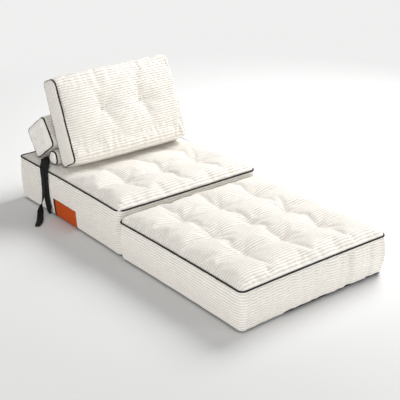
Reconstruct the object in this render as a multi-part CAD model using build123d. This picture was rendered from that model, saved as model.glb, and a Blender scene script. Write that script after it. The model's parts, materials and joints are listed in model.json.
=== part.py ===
from build123d import *
import math
import os

# Folding sofa bed: a thick seat block and a thinner foot block joined by a cloth hinge at
# their bottom edges, with a loose back pillow, a bolster and a small roll on the seat.
# Lengths are millimetres. X runs across the bed, Y from the foot block to the back cushions
# and Z up from the floor. The origin is the middle of the footprint at floor level.

os.makedirs("parts", exist_ok=True)

# Whole bed
bed_width = 900.0
seat_length = 990.0
foot_length = 926.0
block_gap = 4.0
seat_piping_height = 250.0
foot_piping_height = 206.0
hinge_y = (foot_length - seat_length) / 2

# Cover of a block
piping_diameter = 8.0
piping_radius = piping_diameter / 2
piping_sides = 6
plan_corner_radius = 34.0
least_radius = 3.0
side_draw_in = 6.0
boxing_set_back = 3.0
boxing_wall = 24.0
bottom_edge_radius = 18.0
bottom_edge_steps = 2
base_cloth_thickness = 2.0
base_cloth_margin = 24.0
hinge_flap_width = 48.0
fit_clearance = 0.4
overrun = 20.0

# Quilted top of a block: three rows of three tufts with puffed bays between them
tuft_rows = 3
tuft_columns = 3
tuft_column_pitch = 235.0
crown_rise = 56.0
crown_steps = 5
crown_station_steps = 2
side_hill_share = 0.2
shoulder_inset = 40.0
shoulder_hill_share = 0.75
shoulder_furrow_share = 0.45
hill_share = 1.0
furrow_share = 0.7
tuft_hill_share = 0.62
tuft_share = 0.35
foot_bay_shares = (1.0, 1.0, 1.0, 1.0)
foot_row_shares = (1.0, 1.0, 1.0)
seat_bay_shares = (1.0, 1.0, 0.46, 0.32)
seat_row_shares = (1.0, 0.55, 0.4)
bay_peak_share = 0.5

# Tufting twines and their toggles
twine_radius = 2.0
twine_sides = 6
toggle_radius = 6.0
toggle_height = 4.0
toggle_sink = 1.0

# Zips
zip_slot_height = 13.0
zip_slot_depth = 8.0
zip_tape_height = 12.0
zip_tape_thickness = 1.2
zip_coil_height = 5.0
zip_coil_thickness = 2.0
block_zip_length = 620.0
block_zip_height_share = 0.5
cushion_zip_length = 520.0
slider_length = 14.0
slider_height = 9.0
slider_thickness = 3.0
slider_corner_cut = 2.5
slider_clearance = 0.3
pull_length = 26.0
pull_width = 6.0
pull_thickness = 1.2
pull_corner_cut = 1.5

# Patch on the left side of the seat
patch_start = 410.0
patch_length = 208.0
patch_top = 112.0
patch_bottom = 8.0
patch_thickness = 1.2
patch_binding_width = 5.0
patch_binding_thickness = 2.0

# Back pillow, in its own upright frame: Y from its front face, Z up from its bottom edge
pillow_width = 745.0
pillow_centre_x = 12.0
pillow_lean = 22.0
pillow_height = 458.0
pillow_top_depth = 128.0
pillow_waist_depth = 126.0
pillow_bottom_depth = 150.0
pillow_bottom_drop = 20.0
pillow_tuft_height = 250.0
pillow_tuft_place_share = 0.34
pillow_crown = 48.0
pillow_swell_share = 0.3
pillow_pull_swell_share = 0.33
pillow_furrow_pull_share = 0.35
pillow_tuft_pull_share = 0.95
pillow_low_back_share = 0.5
pillow_side_steps = (3, 3, 1, 1, 1, 3)
pillow_zip_place_share = 0.25
pillow_back_bulge = 9.0
pillow_top_bulge = 9.0
pillow_bottom_bulge = 22.0
pillow_front_radius = 24.0
pillow_top_radius = 46.0
pillow_back_radius = 30.0
pillow_waist_radius = 300.0
pillow_shoulder_share = 0.84
pillow_setback = 524.5
pillow_raise = 59.7

# Bolster, in its own level frame
bolster_length = 776.0
bolster_depth = 225.0
bolster_height = 176.0
bolster_tilt = 35.0
bolster_radius = 26.0
bolster_bulge = 9.0
bolster_setback = 836.0
bolster_raise = 118.8
bolster_shoulder_share = 0.86
bolster_side_steps = (3, 3, 3, 3)

# Roll, in its own level frame, pressed to a rounded wedge between pillow and bolster
roll_length = 766.0
roll_front_depth = 48.0
roll_rear_depth = 60.0
roll_top_front_depth = 32.0
roll_top_rear_depth = 22.0
roll_height = 84.0
roll_rear_drop = 8.0
roll_radius = 28.0
roll_bulge = 3.0
roll_setback = 719.5
roll_raise = 37.8
roll_shoulder_share = 0.9
roll_side_steps = (2, 2, 2, 2)

# Loose cushions alike
cushion_core_inset = 24.0
cushion_side_full_share = 0.8
cushion_station_steps = 2
cushion_corner_steps = 3
end_rim = 6.0
end_dome = 11.0
end_dome_draw_in = 14.0

# Tie straps at the left side
strap_tab_length = 34.0
strap_tab_width = 46.0
strap_tab_height = 16.0
strap_tube_diameter = 8.0
strap_tube_sides = 6
strap_radius_share = 0.45
strap_long_route = [
    (-384.0, 790.0, 268.0),
    (-412.0, 743.0, 271.0),
    (-440.0, 703.0, 273.0),
    (-465.0, 684.0, 249.0),
    (-466.0, 681.0, 203.0),
    (-464.0, 681.0, 152.0),
    (-469.0, 680.0, 103.0),
    (-487.0, 676.0, 56.0),
    (-503.0, 660.0, 17.0),
    (-524.0, 626.0, 5.0),
    (-552.0, 585.0, 5.0),
    (-588.0, 551.0, 5.0),
]
strap_short_route = [
    (-384.0, 772.0, 268.0),
    (-410.0, 725.0, 271.0),
    (-439.0, 682.0, 273.0),
    (-464.0, 661.0, 249.0),
    (-466.0, 657.0, 203.0),
    (-464.0, 656.0, 152.0),
    (-465.0, 653.0, 106.0),
    (-463.0, 641.0, 62.0),
    (-464.0, 622.0, 18.0),
]

# How far the corners of the piping reach to its sides
piping_reach = piping_radius / math.cos(math.pi / piping_sides)

# Height that the loose cushions rest at
seat_rest_height = seat_piping_height - piping_radius + crown_rise * seat_bay_shares[2]


def block_y(direction, along):
    """Y of a place on a block, measured from the hinge side towards its outer end."""
    return hinge_y + direction * (block_gap / 2 + along)


def plan_face(length, direction, inset, near_inset, height):
    """Outline of a block from above: straight at the hinge, drawn in on its other sides."""
    half = bed_width / 2 - inset
    near = block_y(direction, near_inset)
    far = block_y(direction, length - inset)
    middle = (near + far) / 2
    waist = half - side_draw_in
    hollow = block_y(direction, length - inset - side_draw_in)
    sides = [
        Line((-half, near), (half, near)),
        ThreePointArc((half, near), (waist, middle), (half, far)),
        ThreePointArc((half, far), (0, hollow), (-half, far)),
        ThreePointArc((-half, far), (-waist, middle), (-half, near)),
    ]
    face = make_face(sides)
    face = fillet(face.vertices(), max(plan_corner_radius - inset, least_radius))
    return Pos(0, 0, height) * face


def band_solid(length, direction, depth, bottom, top):
    """Upright block at a depth inside the outer face of the boxing. At the hinge that face
    stands level with the piping, so that the two blocks meet there."""
    face = plan_face(length, direction, boxing_set_back + depth, depth, bottom)
    return extrude(face, top - bottom, dir=(0, 0, 1))


def rounded_band_solid(length, direction, bottom, top, spread):
    """The boxing's outer form, rounded below in steps, and made larger by a spread."""
    radius = bottom_edge_radius + spread
    outlines = []
    for step in range(bottom_edge_steps + 1):
        angle = math.radians(90 * step / bottom_edge_steps)
        depth = radius * (1 - math.sin(angle)) - spread
        level = bottom - spread + radius * (1 - math.cos(angle))
        near_depth = max(depth, 0)
        face = plan_face(length, direction, boxing_set_back + depth, near_depth, level)
        outlines.append(face.face().outer_wire())
    face = plan_face(length, direction, boxing_set_back - spread, 0, top)
    outlines.append(face.face().outer_wire())
    return Solid.make_loft(outlines, True)


def top_section(x, length, direction, height, shares, bay_shares, row_shares):
    """Outline of the quilted top at x: short runs on an arc over each bay between the rows of
    tufts."""
    bay_hill_share, valley_share = shares
    low = height - piping_radius
    bottom = low - crown_rise
    bay = length / (tuft_rows + 1)
    rises = [0] + [crown_rise * valley_share * share for share in row_shares] + [0]
    points = []
    for index, bay_share in enumerate(bay_shares):
        start = (x, block_y(direction, bay * index), low + rises[index])
        end = (x, block_y(direction, bay * (index + 1)), low + rises[index + 1])
        peak_y = block_y(direction, bay * (index + bay_peak_share))
        peak = (x, peak_y, low + crown_rise * bay_hill_share * bay_share)
        arc = ThreePointArc(start, peak, end)
        points += [arc @ (step / crown_steps) for step in range(crown_steps)]
    far = block_y(direction, length)
    points += [(x, far, low), (x, far, bottom), (x, block_y(direction, 0), bottom)]
    return Wire(Polyline(*points, close=True).edges())


def column_places():
    """X of each column of tufts."""
    middle = (tuft_columns - 1) / 2
    return [tuft_column_pitch * (index - middle) for index in range(tuft_columns)]


def row_places(length, direction):
    """Y of each row of tufts."""
    bay = length / (tuft_rows + 1)
    return [block_y(direction, bay * (index + 1)) for index in range(tuft_rows)]


def top_stations():
    """X of each section of the top, with its shares of the crown at the hills and valleys."""
    side = bed_width / 2
    shoulder = side - shoulder_inset
    marks = [-side] + column_places() + [side]
    stations = [(-side, (side_hill_share, 0))]
    stations.append((-shoulder, (shoulder_hill_share, shoulder_furrow_share)))
    for before, after in zip(marks, marks[1:]):
        stations.append(((before + after) / 2, (hill_share, furrow_share)))
        stations.append((after, (tuft_hill_share, tuft_share)))
    stations[-1] = (shoulder, (shoulder_hill_share, shoulder_furrow_share))
    stations.append((side, (side_hill_share, 0)))
    return stations


def eased(stations, steps):
    """The stations, with more placed between each two and eased from one to the next."""
    places = []
    for (start, start_shares), (end, end_shares) in zip(stations, stations[1:]):
        for step in range(steps):
            share = step / steps
            ease = (1 - math.cos(math.pi * share)) / 2
            shares = [a + (b - a) * ease for a, b in zip(start_shares, end_shares)]
            places.append((start + (end - start) * share, shares))
    return places + [stations[-1]]


def make_top_panel(length, direction, height, bay_shares, row_shares):
    """Quilted top with its wadding, flat below, that fits inside the piping."""
    sections = []
    for x, shares in eased(top_stations(), crown_station_steps):
        sections.append(top_section(x, length, direction, height, shares, bay_shares, row_shares))
    quilt = Solid.make_loft(sections, True)
    inset = 2 * piping_reach + fit_clearance
    face = plan_face(length, direction, inset, inset, height - piping_radius)
    return quilt & extrude(face, crown_rise + overrun, dir=(0, 0, 1))


def make_block_piping(length, direction, height):
    """Piping swept round the top edge of a block, with a flat towards the boxing."""
    path = plan_face(length, direction, piping_reach, piping_reach, height).face().outer_wire()
    profile = RegularPolygon(piping_radius, piping_sides, major_radius=False)
    start = Plane(origin=path @ 0, x_dir=(path % 0).cross(Vector(0, 0, 1)), z_dir=path % 0)
    return sweep(start * profile, path=path)


def make_boxing(length, direction, height):
    """Side band of a block up to its piping, with its side wadding, rounded at the floor."""
    seam = height - piping_radius
    outer = rounded_band_solid(length, direction, base_cloth_thickness, seam, 0)
    return outer - band_solid(length, direction, boxing_wall, 0, height)


def make_core(length, direction, height):
    """Foam slab inside the boxing."""
    depth = boxing_wall + fit_clearance
    return band_solid(length, direction, depth, base_cloth_thickness, height - piping_radius)


def floor_sheet(start, end, direction):
    """Flat piece of dark cloth on the underside, from one place along a block to another."""
    width = bed_width - 2 * base_cloth_margin
    middle = block_y(direction, (start + end) / 2)
    sheet = Box(width, end - start, base_cloth_thickness)
    return Pos(0, middle, base_cloth_thickness / 2) * sheet


def make_base_cloth(length, direction):
    """Base cloth from the hinge flap to the outer end."""
    return floor_sheet(hinge_flap_width, length - base_cloth_margin, direction)


def make_hinge_flap(direction):
    """One half of the cloth hinge, from the hinge line to the base cloth."""
    return floor_sheet(-block_gap / 2, hinge_flap_width, direction)


def upright(radius, sides, bottom, top):
    """Upright prism on the Z axis."""
    return Pos(0, 0, bottom) * extrude(RegularPolygon(radius, sides), top - bottom)


def make_tuft_ties(length, direction, height, row_shares):
    """Twines from each tuft down to the base cloth, with a toggle in the tuft."""
    ties = []
    for y, row_share in zip(row_places(length, direction), row_shares):
        dip = height - piping_radius + crown_rise * tuft_share * row_share
        for x in column_places():
            low = base_cloth_thickness
            tie = upright(twine_radius, twine_sides, low, dip)
            top = dip - toggle_sink + toggle_height
            tie += upright(toggle_radius, twine_sides, dip - toggle_sink, top)
            ties.append(Pos(x, y, 0) * tie)
    return ties


def make_zip(length):
    """Zip on a wall that faces +Y at y 0: the slot to cut, the tape with its coil, and the
    slider at its closed end with its pull lying along the coil."""
    back = -zip_slot_depth
    slot = Pos(0, back / 2 + overrun / 2, 0) * Box(length, zip_slot_depth + overrun, zip_slot_height)
    tape = Pos(0, back + zip_tape_thickness / 2, 0) * Box(length, zip_tape_thickness, zip_tape_height)
    coil_y = back + zip_tape_thickness
    coil = Pos(0, coil_y + zip_coil_thickness / 2, 0) * Box(length, zip_coil_thickness, zip_coil_height)
    slider_y = coil_y + zip_coil_thickness + slider_clearance
    body = Pos(0, slider_y + slider_thickness / 2, 0) * Box(slider_length, slider_thickness, slider_height)
    body = chamfer(body.edges().filter_by(Axis.Y), slider_corner_cut)
    pull_y = slider_y + slider_thickness
    pull = Pos(pull_length / 2, pull_y + pull_thickness / 2, 0)
    pull = pull * Box(pull_length, pull_thickness, pull_width)
    pull = chamfer(pull.edges().filter_by(Axis.Y), pull_corner_cut)
    closed_x = slider_length - length / 2
    return slot, tape + coil, Pos(closed_x, 0, 0) * (body + pull)


def make_side_patch(length, direction, height):
    """Plain patch that follows the left side down to its rounded bottom edge, and the narrow
    binding along its rear edge."""
    far = block_y(direction, patch_start + patch_length)
    inner = rounded_band_solid(length, direction, base_cloth_thickness, height, fit_clearance)
    shells = []
    for thickness in (patch_thickness, patch_binding_thickness):
        shells.append(rounded_band_solid(length, direction, base_cloth_thickness, height, thickness))
    tall = patch_top - patch_bottom
    side = Pos(-bed_width / 2, 0, patch_bottom + tall / 2)
    main = Pos(0, far - patch_length / 2, 0) * side * Box(bed_width / 2, patch_length, tall)
    edge_y = far + patch_binding_width / 2
    edge = Pos(0, edge_y, 0) * side * Box(bed_width / 2, patch_binding_width, tall)
    return (shells[0] & main) - inner, (shells[1] & edge) - inner


def corner_arcs(x, corners):
    """Arc at each corner of a closed clockwise outline in the plane at x, from a list of
    (y, z, radius), or the corner itself where it has no radius."""
    points = [Vector(x, y, z) for y, z, radius in corners]
    arcs = []
    for index, (y, z, radius) in enumerate(corners):
        corner = points[index]
        before = (points[index - 1] - corner).normalized()
        after = (points[(index + 1) % len(points)] - corner).normalized()
        if radius == 0:
            arcs.append(corner)
            continue
        half_turn = math.radians(before.get_angle(after)) / 2
        reach = radius / math.tan(half_turn)
        inward = (before + after).normalized() * (radius / math.sin(half_turn) - radius)
        arcs.append(ThreePointArc(corner + before * reach, corner + inward, corner + after * reach))
    return arcs


def rounded_loop(x, corners):
    """Closed outline of straight sides and rounded corners."""
    arcs = corner_arcs(x, corners)
    edges = []
    for index, arc in enumerate(arcs):
        after = arcs[(index + 1) % len(arcs)]
        start = arc if isinstance(arc, Vector) else arc @ 1
        end = after if isinstance(after, Vector) else after @ 0
        if not isinstance(arc, Vector):
            edges.append(arc)
        edges.append(Line(start, end))
    return Wire(edges)


def puffed_points(x, corners, bulges, side_steps):
    """Points of a closed outline of short runs, whose sides bulge outwards by an amount each."""
    arcs = corner_arcs(x, corners)
    points = []
    for index, (arc, bulge, steps) in enumerate(zip(arcs, bulges, side_steps)):
        after = arcs[(index + 1) % len(arcs)]
        if isinstance(arc, Vector):
            points.append(arc)
        else:
            for step in range(cushion_corner_steps + 1):
                points.append(arc @ (step / cushion_corner_steps))
        start = points[-1]
        end = after if isinstance(after, Vector) else after @ 0
        run = (end - start).normalized()
        outward = Vector(0, -run.Z, run.Y)
        for step in range(1, steps):
            share = step / steps
            points.append(start + (end - start) * share + outward * (4 * bulge * share * (1 - share)))
    return points


def puffed_loop(x, corners, bulges, side_steps):
    """Closed outline through the puffed points."""
    return Wire(Polyline(*puffed_points(x, corners, bulges, side_steps), close=True).edges())


def parallel_in(corners, inset):
    """The corners of an outline that runs inside another one at an even distance."""
    moved = []
    for index, (y, z, radius) in enumerate(corners):
        before = corners[index - 1]
        after = corners[(index + 1) % len(corners)]
        arriving = Vector(0, y - before[0], z - before[1]).normalized()
        leaving = Vector(0, after[0] - y, after[1] - z).normalized()
        shift = Vector(0, arriving.Z + leaving.Z, -arriving.Y - leaving.Y)
        shift = shift * (inset / (1 + arriving.dot(leaving)))
        outward_turn = arriving.cross(leaving).X < 0
        tighter = max(radius - inset, least_radius) if outward_turn else radius + inset
        moved.append((y + shift.Y, z + shift.Z, tighter if radius > 0 else 0))
    return moved


def drawn_in(corners, inset):
    """The corners of a convex outline drawn towards its middle by about the inset."""
    ys = [y for y, z, radius in corners]
    zs = [z for y, z, radius in corners]
    middle_y = (min(ys) + max(ys)) / 2
    middle_z = (min(zs) + max(zs)) / 2
    y_share = 1 - 2 * inset / (max(ys) - min(ys))
    z_share = 1 - 2 * inset / (max(zs) - min(zs))
    moved = []
    for y, z, radius in corners:
        near_y = middle_y + (y - middle_y) * y_share
        near_z = middle_z + (z - middle_z) * z_share
        moved.append((near_y, near_z, radius * min(y_share, z_share)))
    return moved


def make_cushion_core(width, corners):
    """Filling of a loose cushion: the end outline, drawn in, run from end to end."""
    half = width / 2 - cushion_core_inset
    outline = rounded_loop(-half, drawn_in(corners, cushion_core_inset))
    return extrude(make_face(outline.edges()), 2 * half, dir=(1, 0, 0))


def end_points(x, corners, inset):
    """Points of an outline of short runs, at an even distance inside a cushion's end outline."""
    return puffed_points(x, parallel_in(corners, inset), [0] * len(corners), [1] * len(corners))


def faceted_form(loops):
    """Solid of plane facets through closed outlines that have the same number of points."""
    faces = [make_face(Polyline(*loop, close=True).edges()) for loop in (loops[0], loops[-1])]
    for near, far in zip(loops, loops[1:]):
        for index in range(len(near)):
            faces.append(Face(Wire.make_polygon([near[index - 1], near[index], far[index]])))
            faces.append(Face(Wire.make_polygon([near[index - 1], far[index], far[index - 1]])))
    return Solid(Shell(faces))


def make_cushion_end(half, corners, side):
    """Domed end panel of a loose cushion, that fits inside the end piping."""
    inset = 2 * piping_reach
    rim = half + end_rim
    levels = [
        (side * (half - piping_radius), inset),
        (side * rim, inset),
        (side * (rim + end_dome), inset + end_dome_draw_in),
    ]
    return faceted_form([end_points(x, corners, depth) for x, depth in levels])


def ring_form(corners, levels):
    """Solid inside a cushion's end outline, drawn in by an amount at each level along X."""
    outlines = []
    for x, inset in levels:
        outlines.append(Wire(Polyline(*end_points(x, corners, inset), close=True).edges()))
    return Solid.make_loft(outlines, True)


def make_cushion_piping(half, corners):
    """Piping round both ends of a loose cushion, six-sided with a flat towards the cover."""
    pipings = []
    for side in (-1, 1):
        near = side * half - piping_radius
        far = side * half + piping_radius
        edge = piping_reach / 2
        outer = ring_form(corners, [(near, edge), (side * half, 0), (far, edge)])
        inset = 2 * piping_reach
        inner_levels = [(near, inset - edge), (side * half, inset), (far, inset - edge)]
        pipings.append(outer - ring_form(corners, inner_levels))
    return pipings


def pillow_corners(front, waist):
    """Corners of the pillow's section. The front has a corner at the height of the tufts."""
    return [
        (0, 0, pillow_front_radius),
        (front, pillow_tuft_height, 0),
        (0, pillow_height, pillow_top_radius),
        (pillow_top_depth, pillow_height, pillow_back_radius),
        (waist, pillow_tuft_height, pillow_waist_radius),
        (pillow_bottom_depth, -pillow_bottom_drop, pillow_back_radius),
    ]


def pillow_section(x, fullness, tuft_pull):
    """Section of the pillow at x. The front rises to the crown and is pulled in at a tuft."""
    front = -pillow_crown * fullness * (1 - tuft_pull)
    swell = pillow_crown * fullness * (pillow_swell_share + pillow_pull_swell_share * tuft_pull)
    bulges = [
        swell,
        swell,
        pillow_top_bulge * fullness,
        pillow_back_bulge * fullness,
        pillow_back_bulge * fullness * pillow_low_back_share,
        pillow_bottom_bulge * fullness,
    ]
    return puffed_loop(x, pillow_corners(front, pillow_waist_depth), bulges, pillow_side_steps)


def make_pillow_cover():
    """Cover of the pillow between its end panels, with two tufts on the front."""
    half = pillow_width / 2 - piping_radius
    stations = [
        (-half, (0, 0)),
        (-half * pillow_shoulder_share, (cushion_side_full_share, pillow_furrow_pull_share)),
        (-half * pillow_tuft_place_share, (1, pillow_tuft_pull_share)),
        (0, (1, pillow_furrow_pull_share)),
        (half * pillow_tuft_place_share, (1, pillow_tuft_pull_share)),
        (half * pillow_shoulder_share, (cushion_side_full_share, pillow_furrow_pull_share)),
        (half, (0, 0)),
    ]
    sections = [pillow_section(x, full, pull) for x, (full, pull) in eased(stations, cushion_station_steps)]
    return Solid.make_loft(sections, True)


def make_pillow_ties():
    """Twines through the pillow, with a toggle in each tuft."""
    ties = []
    tuft_y = -pillow_crown * (1 - pillow_tuft_pull_share)
    back = pillow_waist_depth
    for side in (-1, 1):
        tie = upright(twine_radius, twine_sides, tuft_y, back)
        top = tuft_y + toggle_sink
        tie += upright(toggle_radius, twine_sides, top - toggle_height, top)
        x = side * (pillow_width / 2 - piping_radius) * pillow_tuft_place_share
        ties.append(Pos(x, 0, pillow_tuft_height) * Rot(-90, 0, 0) * tie)
    return ties


def block_corners(depth, height, radius):
    """Corners of a level rectangle about its middle."""
    y, z = depth / 2, height / 2
    return [(-y, -z, radius), (-y, z, radius), (y, z, radius), (y, -z, radius)]


def roll_corners():
    """Corners of the roll's section, lower at the rear, where the bolster presses on it."""
    z = roll_height / 2
    return [
        (-roll_front_depth, -z, roll_radius),
        (-roll_top_front_depth, z, roll_radius),
        (roll_top_rear_depth, z - roll_rear_drop, roll_radius),
        (roll_rear_depth, -z, roll_radius),
    ]


def make_crowned_cover(length, corners, bulge, shoulder_share, side_steps):
    """Cover of a loose cushion whose sides swell between its ends."""
    half = length / 2 - piping_radius
    stations = [
        (-half, (0,)),
        (-half * shoulder_share, (cushion_side_full_share,)),
        (0, (1,)),
        (half * shoulder_share, (cushion_side_full_share,)),
        (half, (0,)),
    ]
    sections = []
    for x, shares in eased(stations, cushion_station_steps):
        bulges = [bulge * shares[0]] * len(corners)
        sections.append(puffed_loop(x, corners, bulges, side_steps))
    return Solid.make_loft(sections, True)


def strap_radii(route):
    """Radius at each corner of a strap's route, as large as its two runs allow."""
    radii = []
    for before, corner, after in zip(route, route[1:], route[2:]):
        arriving = Vector(corner) - Vector(before)
        leaving = Vector(after) - Vector(corner)
        turn = math.radians(arriving.get_angle(leaving))
        shorter = min(arriving.length, leaving.length)
        radii.append(strap_radius_share * shorter / math.tan(turn / 2))
    return radii


def make_strap(route):
    """One free tail of the tie strap, as a tube along its route."""
    path = FilletPolyline(*route, radius=strap_radii(route))
    profile = RegularPolygon(strap_tube_diameter / 2, strap_tube_sides)
    strap = sweep(Plane(origin=path @ 0, z_dir=path % 0) * profile, path=path)
    return strap, path.length, profile.area


def add_block(parts, name, length, direction, height, bay_shares, row_shares):
    """Everything that the two blocks share."""
    ties = make_tuft_ties(length, direction, height, row_shares)
    piping = make_block_piping(length, direction, height)
    top = make_top_panel(length, direction, height, bay_shares, row_shares)
    parts[name + "_top_panel"] = top - ties
    parts[name + "_boxing"] = make_boxing(length, direction, height)
    parts[name + "_core"] = make_core(length, direction, height) - ties
    parts[name + "_piping"] = piping
    parts[name + "_tuft_ties"] = ties
    parts[name + "_base_cloth"] = make_base_cloth(length, direction)
    parts[name + "_hinge_flap"] = make_hinge_flap(direction)


def add_zip(parts, name, host, place, length):
    """Zip let into a host piece, with its own tape and slider."""
    slot, tape, slider = make_zip(length)
    parts[host] = parts[host] - place * slot
    parts[name + "_zip_tape"] = place * tape
    parts[name + "_zip_slider"] = place * slider


def add_cushion(parts, name, width, corners, cover, ties=None):
    """Cover, filling, end panels and end pipings of a loose cushion."""
    half = width / 2
    core = make_cushion_core(width, corners)
    cover = cover - core
    if ties:
        cover = cover - ties
        core = core - ties
        parts[name + "_tuft_ties"] = ties
    parts[name + ("_filling" if ties else "_core")] = core
    for side, word in ((-1, "left"), (1, "right")):
        parts[name + "_end_" + word] = make_cushion_end(half, corners, side)
    parts[name + "_piping"] = make_cushion_piping(half, corners)
    parts[name + "_cover"] = cover


def place_all(parts, place):
    """Moves every part of a cushion to its place on the seat."""
    placed = {}
    for name, part in parts.items():
        if isinstance(part, list):
            placed[name] = [place * piece for piece in part]
        else:
            placed[name] = place * part
    return placed


parts = {}
add_block(parts, "seat", seat_length, 1, seat_piping_height, seat_bay_shares, seat_row_shares)
add_block(parts, "foot", foot_length, -1, foot_piping_height, foot_bay_shares, foot_row_shares)

# The zip slots start at the deepest place of the drawn-in sides
zip_face = boxing_set_back + side_draw_in
seat_zip_place = Pos(0, block_y(1, seat_length - zip_face), seat_piping_height * block_zip_height_share)
add_zip(parts, "seat", "seat_boxing", seat_zip_place, block_zip_length)
foot_middle = block_y(-1, foot_length / 2)
foot_zip_place = Pos(bed_width / 2 - zip_face, foot_middle, foot_piping_height * block_zip_height_share)
add_zip(parts, "foot", "foot_boxing", foot_zip_place * Rot(0, 0, -90), block_zip_length)
patch, binding = make_side_patch(seat_length, 1, seat_piping_height)
parts["seat_side_patch"] = patch
parts["seat_patch_binding"] = binding

pillow = {}
pillow_outline = pillow_corners(0, pillow_waist_depth)
add_cushion(pillow, "pillow", pillow_width, pillow_outline, make_pillow_cover(), make_pillow_ties())
pillow_zip_y = pillow_bottom_depth * pillow_zip_place_share
pillow_zip_place = Pos(0, pillow_zip_y, -pillow_bottom_bulge / 2) * Rot(-90, 0, 0)
add_zip(pillow, "pillow", "pillow_cover", pillow_zip_place, cushion_zip_length)
pillow_place = Pos(pillow_centre_x, block_y(1, pillow_setback), seat_rest_height + pillow_raise)
parts.update(place_all(pillow, pillow_place * Rot(-pillow_lean, 0, 0)))

bolster = {}
bolster_outline = block_corners(bolster_depth, bolster_height, bolster_radius)
bolster_cover = make_crowned_cover(bolster_length, bolster_outline, bolster_bulge,
                                   bolster_shoulder_share, bolster_side_steps)
add_cushion(bolster, "bolster", bolster_length, bolster_outline, bolster_cover)
add_zip(bolster, "bolster", "bolster_cover", Pos(0, bolster_depth / 2, 0), cushion_zip_length)
bolster_place = Pos(0, block_y(1, bolster_setback), seat_rest_height + bolster_raise)
parts.update(place_all(bolster, bolster_place * Rot(-bolster_tilt, 0, 0)))

roll = {}
roll_cover = make_crowned_cover(roll_length, roll_corners(), roll_bulge,
                                roll_shoulder_share, roll_side_steps)
add_cushion(roll, "roll", roll_length, roll_corners(), roll_cover)
roll_place = Pos(0, block_y(1, roll_setback), seat_rest_height + roll_raise)
parts.update(place_all(roll, roll_place))

tab_x = strap_long_route[0][0] + strap_tab_length / 2
tab_y = (strap_long_route[0][1] + strap_short_route[0][1]) / 2
tab_top = strap_long_route[0][2] + strap_tube_diameter / 2
tab = Pos(tab_x, tab_y, tab_top - strap_tab_height / 2)
tab = tab * Box(strap_tab_length, strap_tab_width, strap_tab_height)
tab = tab - parts["seat_top_panel"]
for word, route in (("long", strap_long_route), ("short", strap_short_route)):
    strap, length, section = make_strap(route)
    tab = tab - strap
    parts["strap_tail_" + word] = strap
    print("strap", word, "length", round(length, 1), "radii", [round(r, 1) for r in strap_radii(route)])
    print("volume over section times length", round(strap.volume / (section * length), 4))
parts["strap_anchor"] = tab

for name, part in parts.items():
    whole = Compound(part) if isinstance(part, list) else part
    export_step(whole, f"parts/{name}.step")
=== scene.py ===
import json
import math

import bmesh
import bpy
import numpy as np
from bpy.props import FloatProperty, FloatVectorProperty, IntProperty, PointerProperty
from bpy.types import Operator, Panel, PropertyGroup
from mathutils import Matrix, Vector, noise

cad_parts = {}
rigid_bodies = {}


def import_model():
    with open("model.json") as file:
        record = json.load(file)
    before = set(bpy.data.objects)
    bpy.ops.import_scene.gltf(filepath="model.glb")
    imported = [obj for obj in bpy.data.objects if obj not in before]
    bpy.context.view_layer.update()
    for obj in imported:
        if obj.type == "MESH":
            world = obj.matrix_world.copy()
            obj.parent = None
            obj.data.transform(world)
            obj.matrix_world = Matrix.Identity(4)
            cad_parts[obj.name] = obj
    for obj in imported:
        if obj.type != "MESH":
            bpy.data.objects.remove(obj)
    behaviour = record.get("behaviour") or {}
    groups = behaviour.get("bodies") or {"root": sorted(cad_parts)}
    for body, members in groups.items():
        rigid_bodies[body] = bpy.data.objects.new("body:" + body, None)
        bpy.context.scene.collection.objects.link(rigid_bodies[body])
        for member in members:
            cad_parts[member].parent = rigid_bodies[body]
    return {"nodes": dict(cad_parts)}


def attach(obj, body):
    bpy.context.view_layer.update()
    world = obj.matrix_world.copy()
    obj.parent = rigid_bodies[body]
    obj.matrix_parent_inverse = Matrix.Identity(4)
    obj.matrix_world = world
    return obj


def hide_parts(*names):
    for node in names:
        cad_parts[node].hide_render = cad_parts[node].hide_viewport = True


bl_info = {
    "name": "Folding Sofa Bed",
    "version": (1, 0, 0),
    "blender": (4, 5, 0),
    "location": "View3D > Sidebar > Sofa Bed",
    "description": "Dresses the folding sofa bed: covers, loose cushions, piping, straps and stage",
    "category": "Object",
}

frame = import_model()
bpy.context.view_layer.update()

# Blocks: places taken over from the solid model, in metres. near and far are the hinge side and
# the outer side, height is the level of the seam, and half is half the width with the cloth.
HINGE_Y = -0.032
HALF_GAP = 0.002
BLOCKS = {
    "seat": {
        "near": -0.030, "far": 0.960, "length": 0.990, "height": 0.250, "half": 0.451, "belly": 0.007,
        "row_levels": (1.0, 0.55, 0.42), "fill": 0.8,
        "zip_slot": ((-0.310, 0.943, 0.1185), (0.310, 0.975, 0.1315)),
        "lump_seed": 3, "fold_seed": 2.0, "piping_seed": 3,
    },
    "foot": {
        "near": -0.034, "far": -0.962, "length": 0.926, "height": 0.206, "half": 0.459, "belly": 0.011,
        "row_levels": (1.0, 1.0, 1.0), "fill": 0.85,
        "zip_slot": ((0.433, -0.807, 0.0965), (0.490, -0.187, 0.1095)),
        "lump_seed": 5, "fold_seed": 4.0, "piping_seed": 6,
    },
}
# Height of the seat's puffs along it, which the cushions press down at the back
SEAT_STATIONS = (0.0, 0.375, 0.50, 0.60, 0.70, 1.0)
SEAT_LEVELS = (1.0, 1.0, 0.62, 0.46, 0.36, 0.30)
CORNER_RADIUS = 0.034
DRAW_IN = 0.006
SET_BACK = 0.003
BOTTOM_RADIUS = 0.026
CLOTH_LEVEL = 0.0023
SIDE_ROWS = 18
BOTTOM_ROWS = 4
TUFT_COLUMNS = (-0.235, 0.0, 0.235)
TUFT_SPOKES = 7
FURROW_WIDTH = 0.040
TUFT_HOLD = 0.012
CROWN = 0.056
CROWN_RUN = 0.115
# Where the seat's top stops swelling, because the cushions lie on it from there on
FIRM_START = 0.40
FIRM_END = 0.50
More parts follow.
